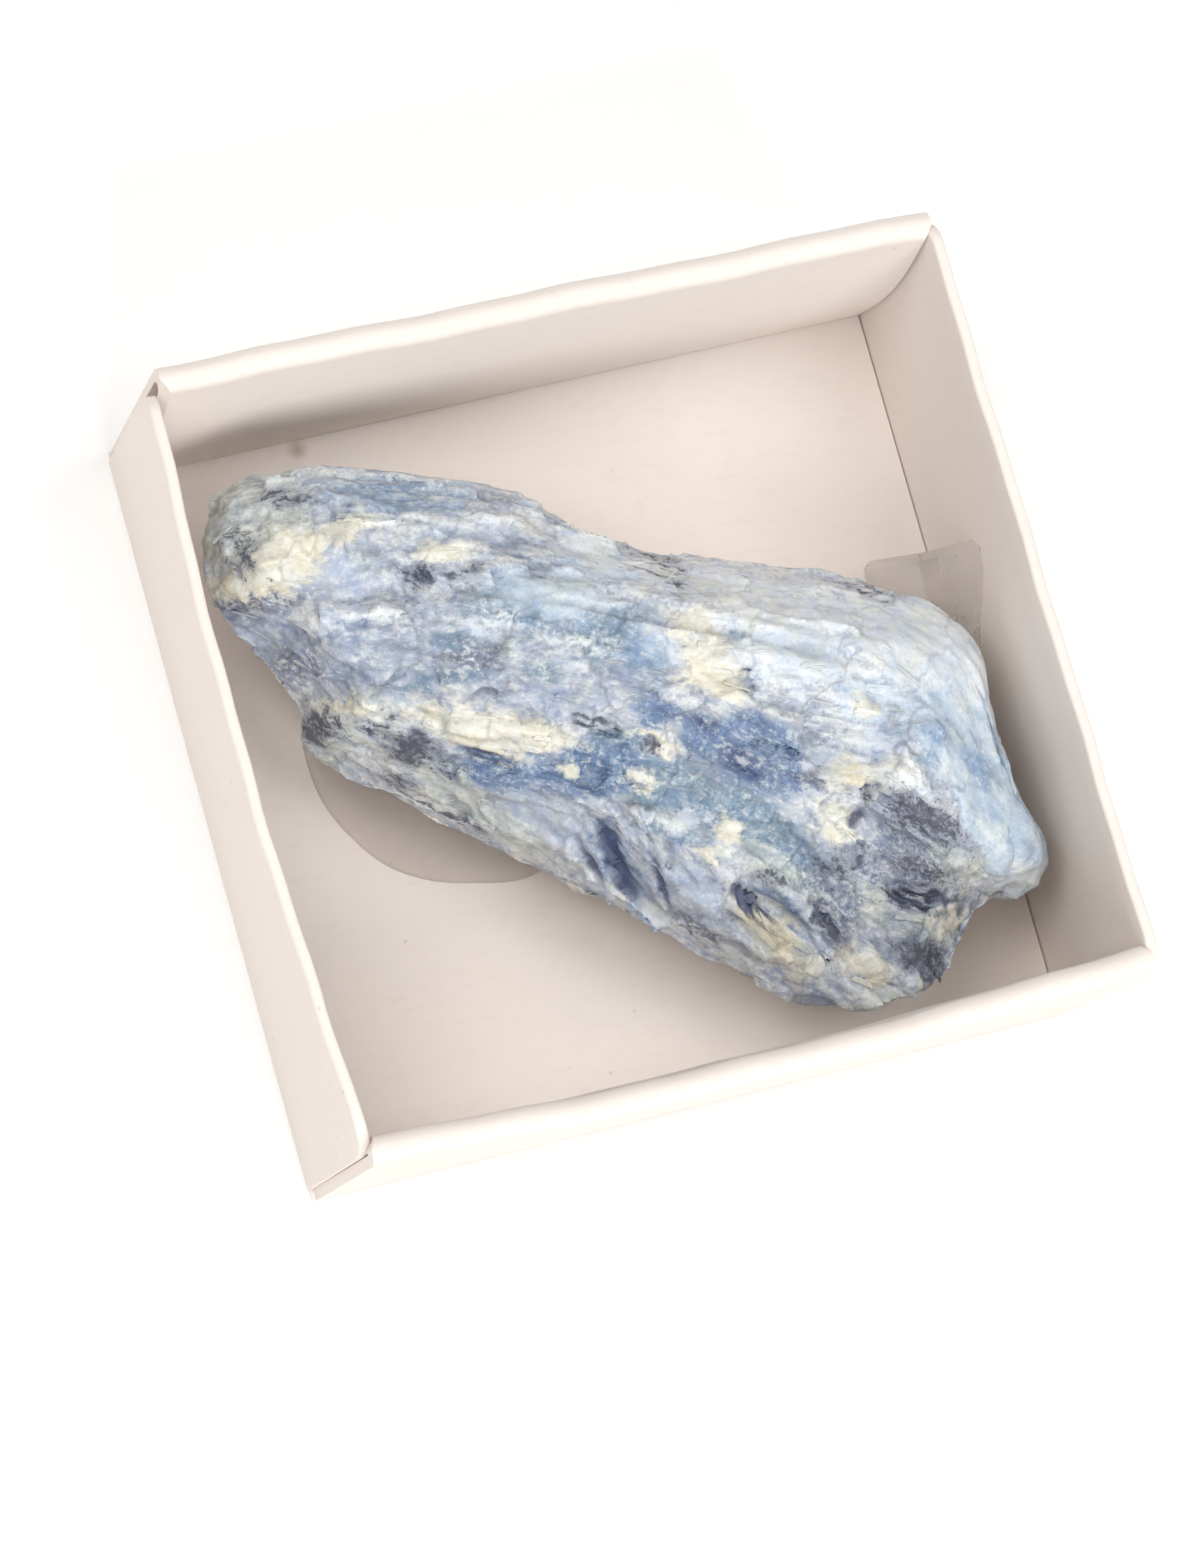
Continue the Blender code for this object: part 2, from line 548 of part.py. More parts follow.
def build_specimen():
    rng = random.Random(31)
    specimen = build_core()
    core_mesh = bmesh.new()
    core_mesh.from_mesh(specimen.data)
    tree = BVHTree.FromBMesh(core_mesh)
    core_mesh.free()
    blades = []
    for bundle in UPPER_BUNDLES:
        blades += bundle_blades(tree, bundle, -1, rng)
    for bundle in LOWER_BUNDLES:
        blades += bundle_blades(tree, bundle, 1, rng)
    for shingle in SIDE_SHINGLES:
        blades += shingle_blades(shingle, rng)
    join_solid(specimen, blades, "UNION")
    join_solid(specimen, [cut_solid(cut) for cut in CUTS], "DIFFERENCE")
    join_solid(specimen, [room_in_tray()], "INTERSECT")
    tidy_mesh(specimen)
    specimen.name = "kyanite_specimen"
    specimen.data.materials.clear()
    specimen.data.materials.append(make_material("kyanite", (0.42, 0.52, 0.68), 0.45))
    return specimen


# Glue
def build_puddle():
    """Flat drop with a round edge that spread on the floor under the near flank."""
    count = len(PUDDLE_REACH)
    middle = Vector((*PUDDLE_MIDDLE, 0.0))
    bm = bmesh.new()
    rings = []
    for scale, height in PUDDLE_RINGS:
        ring = []
        for i in range(2 * count):
            reach = PUDDLE_REACH[i // 2]
            if i % 2:
                reach = (reach + PUDDLE_REACH[(i // 2 + 1) % count]) / 2
            angle = math.pi * i / count
            place = middle + Vector((math.cos(angle), math.sin(angle), 0.0)) * reach * scale
            ring.append(Vector((place.x, place.y, height)) * MM + Vector((0.0, 0.0, FLOOR_TOP + GAP)))
        rings.append(ring)
    skin_rings(bm, rings)
    return make_object("glue_puddle", bm, make_material("puddle_glue", (0.78, 0.76, 0.72), 0.12, 0.45))


def build_fillet():
    """Glue drawn up from the floor to the right wall, with a slightly hollow face."""
    wall_x = TRAY_LENGTH / 2 - CARD - GAP
    floor_z = FLOOR_TOP + GAP
    rings = []
    for foot_y, reach, wall_y, height in FILLET_STATIONS:
        corner = Vector((wall_x, (foot_y + wall_y) / 2 * MM, floor_z))
        foot = Vector((wall_x - reach * MM, foot_y * MM, floor_z))
        crown = Vector((wall_x, wall_y * MM, floor_z + height * MM))
        ring = [corner]
        for step in range(FILLET_STEPS + 1):
            share = step / FILLET_STEPS
            place = foot.lerp(crown, share)
            place += (corner - place) * FILLET_SAG * math.sin(math.pi * share)
            ring.append(place)
        rings.append(ring)
    bm = bmesh.new()
    skin_rings(bm, rings)
    return make_object("glue_fillet", bm, make_material("fillet_glue", (0.86, 0.84, 0.80), 0.10, 0.35))


def centre_model(pieces):
    """Put the bottom centre of the whole box at the origin."""
    points = [vert.co for piece in pieces for vert in piece.data.vertices]
    low = [min(point[axis] for point in points) for axis in range(3)]
    high = [max(point[axis] for point in points) for axis in range(3)]
    shift = Vector(((low[0] + high[0]) / 2, (low[1] + high[1]) / 2, low[2]))
    for piece in pieces:
        piece.data.transform(Matrix.Translation(-shift))


def main():
    clear_scene()
    centre_model([build_tray(), build_specimen(), build_puddle(), build_fillet()])


main()
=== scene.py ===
"""Kyanite blade cluster glued in a small folded card tray: the finish of every surface.

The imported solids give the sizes. Each piece below stands where its solid stands and is made
finer: the mass of blades, its slivers, the card tray and the two pieces of dried glue.
Plan places are in the tray's own frame, whose origin is the middle of its folded floor.
"""
import math

import bmesh
import bpy
import numpy as np
from bpy.props import FloatProperty, FloatVectorProperty, IntProperty, PointerProperty
from mathutils import Matrix, Vector


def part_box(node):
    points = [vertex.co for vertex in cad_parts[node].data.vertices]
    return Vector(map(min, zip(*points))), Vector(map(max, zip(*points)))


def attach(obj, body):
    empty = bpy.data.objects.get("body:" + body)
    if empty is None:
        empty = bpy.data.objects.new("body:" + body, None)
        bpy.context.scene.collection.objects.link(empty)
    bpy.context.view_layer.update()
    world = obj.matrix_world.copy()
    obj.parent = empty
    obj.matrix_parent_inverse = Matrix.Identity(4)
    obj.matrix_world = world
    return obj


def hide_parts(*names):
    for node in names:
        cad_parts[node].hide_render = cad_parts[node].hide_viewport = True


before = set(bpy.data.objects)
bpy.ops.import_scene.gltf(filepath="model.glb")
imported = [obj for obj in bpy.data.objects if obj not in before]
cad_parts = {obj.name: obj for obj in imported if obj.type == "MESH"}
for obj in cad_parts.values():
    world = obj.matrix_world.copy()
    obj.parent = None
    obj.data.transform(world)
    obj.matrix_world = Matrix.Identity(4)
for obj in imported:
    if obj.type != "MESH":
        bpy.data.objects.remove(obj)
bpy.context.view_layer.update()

bl_info = {
    "name": "Kyanite in a card tray",
    "version": (1, 0, 0),
    "blender": (4, 5, 0),
    "location": "3D View > Sidebar > Kyanite",
    "description": "Dresses the packed kyanite specimen, its card tray and the dried glue",
    "category": "Object",
}

MM = 0.001
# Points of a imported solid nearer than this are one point
WELD = 0.001 * MM

# The tray's own sizes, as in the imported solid
TRAY_LENGTH = 0.0400
TRAY_WIDTH = 0.0385
TRAY_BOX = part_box("card_tray")
TRAY_HEIGHT = TRAY_BOX[1].z
SHIFT = Vector((TRAY_BOX[1].x - TRAY_LENGTH / 2, TRAY_BOX[1].y - TRAY_WIDTH / 2, 0.0))
# Rounding of the card's folds and of its cut upper edges
FOLD = 0.3 * MM
FOLD_LIFT = 0.02 * MM
CUT_EDGE = 0.18 * MM
# How far the floor stands back under the walls' outer faces
FLOOR_INSET = 0.1 * MM
# Steps along a single wall's rim, and how wide the hollow gapes between the leaves at the ends
# of the back and the front double wall, as a share of their depth
WALL_STEPS = 28
BACK_GAPE = 0.46
FRONT_GAPE = 0.08
# A soft brown spot on the floor and its size
SPOT_PLACE = (297, 450)
SPOT_RADIUS = 0.62 * MM

# The view: the picture is 1200 by 1551 with its middle on the camera's axis
PICTURE_WIDTH = 1200
PICTURE_HEIGHT = 1551
SENSOR_WIDTH = 36.0
LENS = 240.0
CAMERA_AIM = Vector((-0.067, -2.105, 0.0)) * MM
CAMERA_DISTANCE = 396.48 * MM
CAMERA_AZIMUTH = math.radians(-61.014)
CAMERA_ELEVATION = math.radians(72.451)
CAMERA_ROLL = math.radians(46.490)


def tint(red, green, blue):
    """A colour given in screen values from 0 to 255, as a linear colour."""
    return tuple(((value / 255 + 0.055) / 1.055) ** 2.4 for value in (red, green, blue))


def tone_stops(*colours):
    """Ramp stops that share the whole range evenly between the colours."""
    return [(number / (len(colours) - 1), tint(*colour)) for number, colour in enumerate(colours)]


def colour_property(name, description, colour):
    return FloatVectorProperty(name=name, description=description, subtype="COLOR", size=3,
                               min=0.0, max=1.0, default=tint(*colour))


def length_property(name, description, value):
    return FloatProperty(name=name, description=description, default=value, subtype="DISTANCE",
                         unit="LENGTH", precision=5)


# Where each colour lies on the mass, as the camera sees it, in picture points:
# middle across, middle down, length, width, turn in degrees, counter-clockwise
PATCHES = {
    "mist": (
        (549, 818, 130, 36, -25), (560, 860, 60, 24, -30), (870, 620, 60, 30, -10),
        (341, 571, 98, 56, 0), (694, 634, 20, 14, 0), (691, 892, 79, 45, -48),
        (452, 540, 110, 26, 0), (560, 600, 60, 24, -5),
    ),
    "lavender": (
        (356, 653, 225, 64, -2), (629, 675, 69, 28, -5), (610, 872, 26, 70, -28),
        (645, 880, 30, 60, -28), (801, 985, 86, 28, -20), (780, 734, 52, 21, -20),
        (560, 700, 110, 26, -4), (880, 735, 60, 50, -20),
    ),
    # Sky blue; the patch at (1025, 862) on the right tip is also painted light on a slope turned
    # from the lamps
    "sky": (
        (544, 593, 130, 50, -4), (657, 653, 50, 40, 0), (922, 634, 150, 76, -20),
        (956, 713, 140, 110, -60), (800, 640, 130, 60, -6), (870, 690, 70, 60, 0),
        (1000, 800, 150, 84, -62), (1025, 862, 80, 90, 0), (801, 672, 90, 14, -3),
        (600, 560, 90, 30, -12),
    ),
    "azure": (
        (849, 623, 21, 28, 0), (970, 644, 28, 14, -30), (897, 685, 21, 17, 0),
        (932, 734, 45, 21, -10), (925, 758, 24, 17, 0), (395, 492, 125, 36, -8),
        (604, 620, 86, 30, 8), (640, 655, 40, 26, -10), (985, 775, 60, 22, -62),
    ),
    "teal": (
        (604, 640, 66, 34, 10), (505, 618, 90, 26, -10), (455, 640, 60, 20, 0),
        (442, 680, 98, 17, 8), (544, 672, 45, 22, 0), (604, 759, 75, 60, 0),
        (657, 781, 113, 48, -10), (615, 740, 62, 34, 0), (674, 785, 45, 34, 0),
        (705, 806, 69, 21, -20), (653, 830, 28, 17, 0), (691, 837, 52, 12, 0),
        (700, 800, 170, 56, -14), (760, 830, 110, 46, -30), (800, 870, 60, 40, -40),
    ),
    "slate": (
        (254, 606, 98, 20, 10), (604, 582, 26, 11, 0), (640, 560, 60, 9, -8),
        (915, 846, 90, 36, -28), (880, 862, 90, 44, -30), (925, 898, 90, 30, -14),
        (835, 900, 76, 46, -50), (925, 955, 70, 46, -40), (700, 930, 60, 20, -40),
        (835, 878, 18, 14, 0), (408, 751, 56, 34, -10), (296, 669, 50, 30, 0),
        (469, 657, 70, 32, 5),
    ),
    "blue": (
        (500, 770, 120, 38, -3), (600, 770, 100, 50, -8), (560, 775, 90, 34, -5),
        (709, 736, 60, 52, 0), (664, 710, 60, 24, -10), (756, 752, 125, 72, -25),
        (660, 713, 41, 21, 0), (615, 760, 50, 34, -20), (784, 909, 55, 15, -40),
        (615, 858, 76, 22, -60),
    ),
    "navy": (
        (808, 777, 24, 17, 0), (491, 757, 45, 9, 0), (612, 850, 60, 12, -60),
        (745, 762, 50, 24, -30), (708, 723, 24, 20, 0),
    ),
    "greygreen": (
        (243, 515, 130, 95, 30), (925, 925, 90, 26, -20), (955, 868, 56, 44, -30),
        (880, 905, 60, 24, -40), (333, 736, 75, 56, -30), (440, 785, 130, 40, -30),
        (370, 705, 60, 20, 0), (500, 830, 120, 26, -32), (891, 1000, 70, 32, 10),
        (770, 870, 70, 30, -30),
    ),
    "cream": (
        (258, 582, 110, 36, 12), (292, 556, 85, 50, 30), (341, 531, 98, 20, 12),
        (442, 552, 45, 18, 0), (469, 717, 124, 22, -2), (499, 732, 143, 40, -5),
        (341, 708, 56, 15, 0), (653, 742, 50, 9, -25), (640, 781, 26, 19, 0),
        (749, 599, 52, 41, 0), (698, 623, 55, 34, 0), (708, 665, 58, 55, 0),
        (725, 690, 36, 24, 0), (932, 585, 60, 9, -25), (567, 771, 21, 20, 0),
        (729, 830, 28, 21, 0), (708, 854, 41, 14, 0), (863, 706, 24, 14, 0),
        (835, 820, 31, 41, 0), (956, 923, 41, 21, 0), (866, 964, 52, 24, -30),
    ),
    "tan": (
        (774, 937, 90, 31, -42), (866, 774, 76, 26, 3),
    ),
    # White, and painted light: the long patches along the upper edge and the patch at the right tip
    # lighten slopes that face away from the lamps
    "white": (
        (439, 520, 120, 12, 0), (393, 475, 180, 8, -4), (600, 601, 60, 22, 0),
        (805, 655, 150, 60, -6), (905, 612, 110, 26, -22), (900, 668, 50, 60, -20),
        (955, 650, 60, 40, -40), (905, 780, 60, 26, -20), (580, 640, 70, 10, -4),
        (480, 625, 90, 9, -4), (350, 620, 110, 12, 2), (990, 685, 70, 12, -75),
        (860, 740, 41, 21, 0), (835, 713, 34, 17, 0), (681, 818, 50, 14, -10),
        (640, 915, 150, 15, -27), (740, 970, 120, 13, -30), (870, 600, 110, 16, -12),
        (546, 505, 60, 14, -20), (600, 548, 120, 30, -14), (745, 578, 190, 40, -8),
        (890, 596, 150, 34, -18), (980, 660, 60, 60, -50), (860, 640, 240, 80, -12),
        (940, 640, 130, 60, -50), (680, 578, 240, 40, -6), (780, 610, 130, 50, -4),
        (1005, 880, 60, 26, 20),
    ),
    "speck": (
        (243, 556, 30, 44, 0), (275, 497, 40, 16, -20), (305, 499, 50, 12, -15),
        (236, 538, 22, 24, 0), (416, 576, 42, 34, 60), (454, 580, 24, 15, 0),
        (472, 567, 30, 9, 0), (318, 728, 58, 46, 0), (375, 722, 44, 20, 20),
        (412, 750, 52, 40, -20), (396, 783, 44, 18, -20), (450, 768, 40, 16, -20),
        (653, 751, 40, 11, -22), (656, 560, 70, 9, -8), (677, 582, 25, 10, 0),
        (925, 820, 118, 42, -32), (863, 792, 45, 12, -10), (922, 870, 80, 30, -20),
        (925, 960, 66, 48, -40), (770, 880, 60, 20, -20), (918, 897, 90, 30, -14),
        (868, 583, 90, 12, -10), (832, 868, 40, 30, 0),
    ),
    "crack": (
        (430, 812, 120, 6, -28), (586, 719, 30, 9, -22), (614, 728, 14, 8, -30),
        (651, 748, 20, 7, -25), (484, 754, 36, 8, 5), (748, 677, 20, 9, -20),
        (739, 891, 34, 10, -62), (752, 908, 36, 6, -50), (832, 930, 45, 13, -50),
        (815, 909, 25, 6, -50), (856, 814, 28, 11, 0), (856, 864, 9, 9, 0),
        (922, 897, 79, 13, -10), (267, 576, 5, 5, 0),
    ),
    "slot": (
        (617, 866, 82, 15, -66), (590, 864, 46, 7, -61), (659, 882, 62, 6, -74),
        (752, 905, 60, 9, -42),
    ),
}
# The mass's bundles of blades: middle across, middle down in picture points, direction on the plan
BUNDLES = (
    (250, 530, -14), (400, 500, -20), (340, 600, -18), (350, 660, -20), (480, 600, -22),
    (600, 600, -24), (560, 660, -20), (450, 720, -22), (340, 740, -35), (420, 790, -42),
    (520, 770, -20), (530, 820, -42), (620, 760, -30), (640, 640, -28), (700, 650, -16),
    (800, 650, -16), (820, 590, -18), (620, 860, -70), (690, 890, -55), (720, 800, -30),
    (750, 750, -42), (860, 720, -20), (900, 640, -40), (960, 700, -62), (1000, 800, -65),
    (930, 760, -62), (920, 830, -54), (900, 890, -35), (780, 930, -58), (830, 930, -62),
    (860, 980, -50), (940, 950, -58), (700, 950, -42), (640, 910, -42),
)
# Smooth crystal faces, where the relief is low
SMOOTH_FACES = (
    (341, 571, 98, 56, 0), (270, 575, 130, 60, 20), (691, 892, 79, 45, -48),
    (1000, 815, 160, 84, -62), (560, 600, 90, 40, -5), (529, 815, 158, 40, -25),
    (639, 878, 60, 20, -62), (960, 680, 180, 110, -58), (880, 625, 130, 50, -18),
)
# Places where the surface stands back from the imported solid, or out where the depth is negative:
# patches with a depth in millimetres
TUCKS = (
    (440, 842, 210, 70, -30, 0.60), (640, 945, 240, 60, -30, 0.38),
    (835, 1004, 230, 80, -4, -0.42), (1034, 852, 60, 90, -60, -0.45),
    (1010, 738, 110, 70, -75, 0.45), (968, 938, 80, 60, -65, 0.45),
    (1018, 908, 60, 40, 20, 0.40), (775, 556, 210, 60, -3, 0.42), (898, 582, 90, 56, -25, 0.45),
    (582, 524, 80, 50, -22, 0.40), (262, 664, 120, 60, -42, 0.50),
)
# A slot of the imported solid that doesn't show in the picture
CLOSED_SLOT = (776, 745, 150, 80, -22)
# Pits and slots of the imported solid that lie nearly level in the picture
LEVEL_PLACES = (
    (776, 745, 150, 80, -22), (500, 765, 90, 40, -10), (925, 830, 110, 76, -32),
    (832, 925, 50, 80, 20), (1000, 815, 150, 74, -62), (585, 722, 50, 30, -20),
    (920, 895, 110, 40, -10), (744, 897, 64, 44, -50), (650, 838, 40, 30, 0),
    (648, 745, 50, 26, -20), (614, 862, 34, 26, 0), (960, 660, 170, 90, -55),
    (720, 578, 260, 44, -6), (880, 600, 120, 40, -16),
)


# How rare each colour is on the sides that the picture doesn't show: 1 is never
HIDDEN_SHARE = {
    "mist": 0.56, "lavender": 0.52, "sky": 0.56, "azure": 0.66, "teal": 0.66, "slate": 0.62,
    "blue": 0.66, "navy": 0.80, "greygreen": 0.62, "cream": 0.62, "tan": 0.76, "white": 0.60,
    "speck": 0.68, "crack": 0.86, "slot": 0.95,
}
# Dark, middle and light tint of each colour, how ragged its edge is and how much of it shows
COLOURS = {
    "mist": ((150, 162, 182), (172, 182, 198), (202, 208, 217), 0.5, 0.85),
    "lavender": ((116, 128, 154), (156, 167, 187), (204, 210, 219), 0.9, 0.80),
    "sky": ((158, 181, 202), (190, 206, 219), (219, 228, 234), 0.8, 0.85),
    "azure": ((104, 130, 162), (138, 163, 188), (182, 199, 213), 0.9, 0.84),
    "teal": ((78, 102, 126), (110, 137, 158), (152, 173, 188), 1.0, 0.84),
    "slate": ((62, 70, 92), (112, 121, 141), (184, 190, 199), 1.0, 0.85),
    "blue": ((62, 86, 124), (90, 118, 154), (130, 153, 180), 1.1, 0.90),
    "navy": ((40, 50, 80), (60, 76, 114), (98, 116, 150), 0.9, 0.90),
    "greygreen": ((136, 144, 142), (188, 194, 188), (224, 226, 217), 0.8, 0.80),
    "cream": ((190, 185, 164), (222, 217, 197), (241, 238, 223), 0.80, 0.88),
    "tan": ((186, 177, 148), (214, 206, 178), (233, 228, 206), 0.6, 0.94),
    "white": ((200, 206, 213), (220, 225, 229), (242, 243, 241), 1.2, 0.80),
}
# The deep colours are granular, the others streaked along the blades
DEEP_COLOURS = ("azure", "teal", "slate", "blue", "navy")
# Colours that fade out softly at their edge
SOFT_COLOURS = ("white", "tan", "greygreen")
BASE_COLOUR = ((96, 105, 126), (142, 149, 164), (176, 182, 193), (206, 208, 208), (236, 235, 229))
# The thin layers over the colours: tint, the edge and width of the step that lays it, and share
LAYERS = {
    "dusk": ((104, 117, 143), 0.585, 0.12, 0.36),
    "pale": ((232, 232, 226), 0.60, 0.13, 0.44),
    # Painted shade: small dark specks in pits, drawn more where the relief is low
    "pore": ((86, 92, 108), 0.555, 0.05, 0.36),
    "frost": ((232, 234, 234), 0.86, 0.24, 0.26),
    # White flakes and painted glints: small bright dots, more on the ridges
    "flake": ((244, 245, 246), 0.68, 0.08, 0.45),
    "ground": ((128, 134, 150), 0.60, 0.50, 0.45),
    "grains": ((66, 70, 84), 0.72, 0.12, 0.90),
    "crack": ((62, 67, 86), 0.50, 0.40, 0.88),
    "slot": ((74, 84, 118), 0.50, 0.45, 0.90),
}
# Noises that follow the blades: streak, band, pale, dusk and dust, each with its stretch, scale,
# detail and roughness. Noises that don't: cloud, crumb, grit and kind
BLADE_NOISES = (
    ((1.0, 3.2, 3.2), 1.0, 4.0, 0.65), ((0.30, 1.4, 1.4), 1.0, 3.0, 0.6),
    ((1.7, 2.9, 2.9), 1.0, 4.0, 0.66), ((1.1, 2.6, 2.4), 1.3, 5.0, 0.72),
    ((2.6, 7.0, 7.0), 1.0, 2.0, 0.6),
)
OPEN_NOISES = ((620.0, 5.0, 0.68), (4200.0, 3.0, 0.7), (2100.0, 4.0, 0.72), (800.0, 3.0, 0.6))
# A little warmer and cooler from place to place, and painted shade that darkens the hollows
WARMTH_STOPS = ((0.34, (0.90, 0.96, 1.05)), (0.5, (1.0, 1.0, 1.0)), (0.66, (1.05, 1.03, 0.94)))
SHADE_STOPS = ((0.0, (0.72, 0.74, 0.78)), (0.45, (0.95, 0.95, 0.96)), (1.0, (1.0, 1.0, 1.0)))
# Kyanite's refraction and its shallow inner light, and the strength and depth of each bump
CRYSTAL = {"IOR": 1.72, "Specular IOR Level": 0.35, "Subsurface Weight": 0.20,
           "Subsurface Radius": (1.0, 1.0, 1.1), "Subsurface Scale": 0.4 * MM}
CRYSTAL_BUMP = (0.65, 0.14 * MM)
CARD_BUMP = (0.25, 0.04 * MM)
GLUE_BUMP = (0.25, 0.10 * MM)
# Plates and blades: size of a cell along, across and up in millimetres, its salt, how often its
# slope turns as its number grows, and the slope
PLATE_CELLS = ((5.2, 1.25, 1.1), 101, 7.0, 1.6)
BLADE_CELLS = ((2.1, 0.46, 0.42), 131, 9.0, 2.0)
# How far the borders of bundles, colours and slots wander, in picture points
BUNDLE_WANDER = 46.0
EDGE_WANDER = 22.0
FINE_WANDER = 8.0
SLOT_WANDER = 5.0
# Heights of the finer relief, in millimetres, all but the last two over the surface
RELIEF = {
    "groove": 0.025, "fibre": 0.08, "lumps": 0.16, "crumbs": 0.09, "crumble": 0.20, "crust": 0.14,
    "crack": 0.18, "slot": 0.40,
}
# Rounds of averaging that give the plain form under the slots, and under the closed one
PLAIN_ROUNDS = 90
CLOSED_ROUNDS = 220
# Slot walls are levelled where they stand this high over the table, in millimetres
SLOT_FLOOR = 4.5
# How much of a hollow is filled up: anywhere, more over specks and cracks, at most, and how much
# of a bump is taken off
FILL = {"plain": 0.50, "speck": 0.45, "crack": 0.15, "most": 0.94, "bump": 0.04}
# How far the levelled places stand over the plain form
LEVEL_LIFT = 0.1 * MM


class TraySizes(bpy.types.PropertyGroup):
    card: length_property("Card", "Thickness of the card", 0.0005)
    roll: length_property("Roll", "Radius of the rolled rim of the double walls", 0.0007)
    foot: length_property("Leaf foot", "Depth of the front double wall at the floor", 0.0013)
    back_foot: length_property("Back foot", "Depth of the back double wall at the floor", 0.0016)
    back_lean: length_property("Back lean", "How far the back rim leans out, left end", 0.0006)
    back_bulge: length_property("Back bulge", "How far the back inner leaf swells", 0.00055)
    side_card: length_property("Side card", "Thickness of the single walls' edges", 0.0006)
    seam: length_property("Seam", "Gap between a single wall's end and the double walls", 0.0001)
    end_inset: length_property("End inset", "How far the double walls' ends stand back", 0.0003)
    front_bulge: length_property("Front bulge", "How far the front inner leaf swells", 0.0003)
    front_bow: length_property("Front bow", "How far the front rim bows outwards", 0.0007)
    front_lean: length_property("Front lean", "How far the front rim leans out all along", 0.00055)
    right_lean: length_property("Right lean", "How far the right wall leans out, front end", 0.0005)
    left_lean: length_property("Left lean", "How far the left wall leans out, back end", 0.0005)
    left_bow: length_property("Left bow", "How far the left rim bows outwards", 0.0007)
    corner: length_property("Rim corner", "Rounding of the single walls' upper corners", 0.0012)
    soft_corner: length_property("Soft corner", "Rounding of the worn corner, front left", 0.0022)
    leaf_gap: length_property("Leaf gap", "Gap between an inner leaf and the single walls", 0.00042)
    pocket: length_property("Pocket", "Depth of the double walls' hollow at their ends", 0.0016)
    slit: length_property("Slit", "Gap between the floor and the right wall", 0.00007)
    card_colour: colour_property("Card", "Colour of the card", (236, 227, 220))
    stain_colour: colour_property("Stain", "Colour of the soft brown spot", (176, 152, 140))


class MassLook(bpy.types.PropertyGroup):
    grain: length_property("Grain", "Size of the mesh of the mass", 0.00018)
    plate_relief: FloatProperty(name="Plates", description="Height of the large plates, mm",
                                default=0.17, min=0.0)
    blade_relief: FloatProperty(name="Blades", description="Height of the fine blades, mm",
                                default=0.09, min=0.0)
    sliver_length: length_property("Sliver", "Length of the loose-ended slivers", 0.0008)
    sliver_density: FloatProperty(name="Slivers", description="Slivers per square metre",
                                  default=0.45e6, min=0.0)
    seed: IntProperty(name="Seed", description="Seed of the slivers", default=7)


class GlueLook(bpy.types.PropertyGroup):
    ior: FloatProperty(name="IOR", description="Refraction of the dried glue", default=1.20)
    density: FloatProperty(name="Absorption", description="Absorption of the glue, per metre",
                           default=340.0)
    clearness: FloatProperty(name="Clear", description="How clear the puddle is, 1 for all",
                             default=0.92, min=0.0, max=1.0)
    fillet_density: FloatProperty(name="Fillet", default=6.0,
                                  description="Absorption of the thin fillet, per metre")
    fillet_clearness: FloatProperty(name="Clear fillet", default=0.74, min=0.0, max=1.0,
                                    description="How clear the fillet is, 1 for all")
    colour: colour_property("Glue", "Colour left after the absorption", (205, 200, 196))


def operator(operation, swapped=False):
    """A method that adds one Math node for a value and another."""
    def method(self, other):
        pair = (other, self) if swapped else (self, other)
        return self.math(operation, *pair)
    return method


class Value:
    """A socket on which the arithmetic operators add Math nodes."""

    def __init__(self, graph, socket):
        self.graph = graph
        self.socket = socket

    def math(self, operation, *values, clamp=False):
        settings = {"operation": operation, "use_clamp": clamp}
        return self.graph.node("ShaderNodeMath", settings, dict(enumerate(values)))

    __add__ = operator("ADD")
    __radd__ = operator("ADD", True)
    __sub__ = operator("SUBTRACT")
    __rsub__ = operator("SUBTRACT", True)
    __mul__ = operator("MULTIPLY")
    __rmul__ = operator("MULTIPLY", True)

    def beside(self, name):
        """Another output of the same node."""
        return Value(self.graph, self.socket.node.outputs[name])

    def clamped(self):
        return self.math("ADD", self, 0.0, clamp=True)

    def step(self, edge, width):
        """0 below the edge, 1 above it, with a soft change over width."""
        return ((self - edge) * (1.0 / width) + 0.5).clamped()


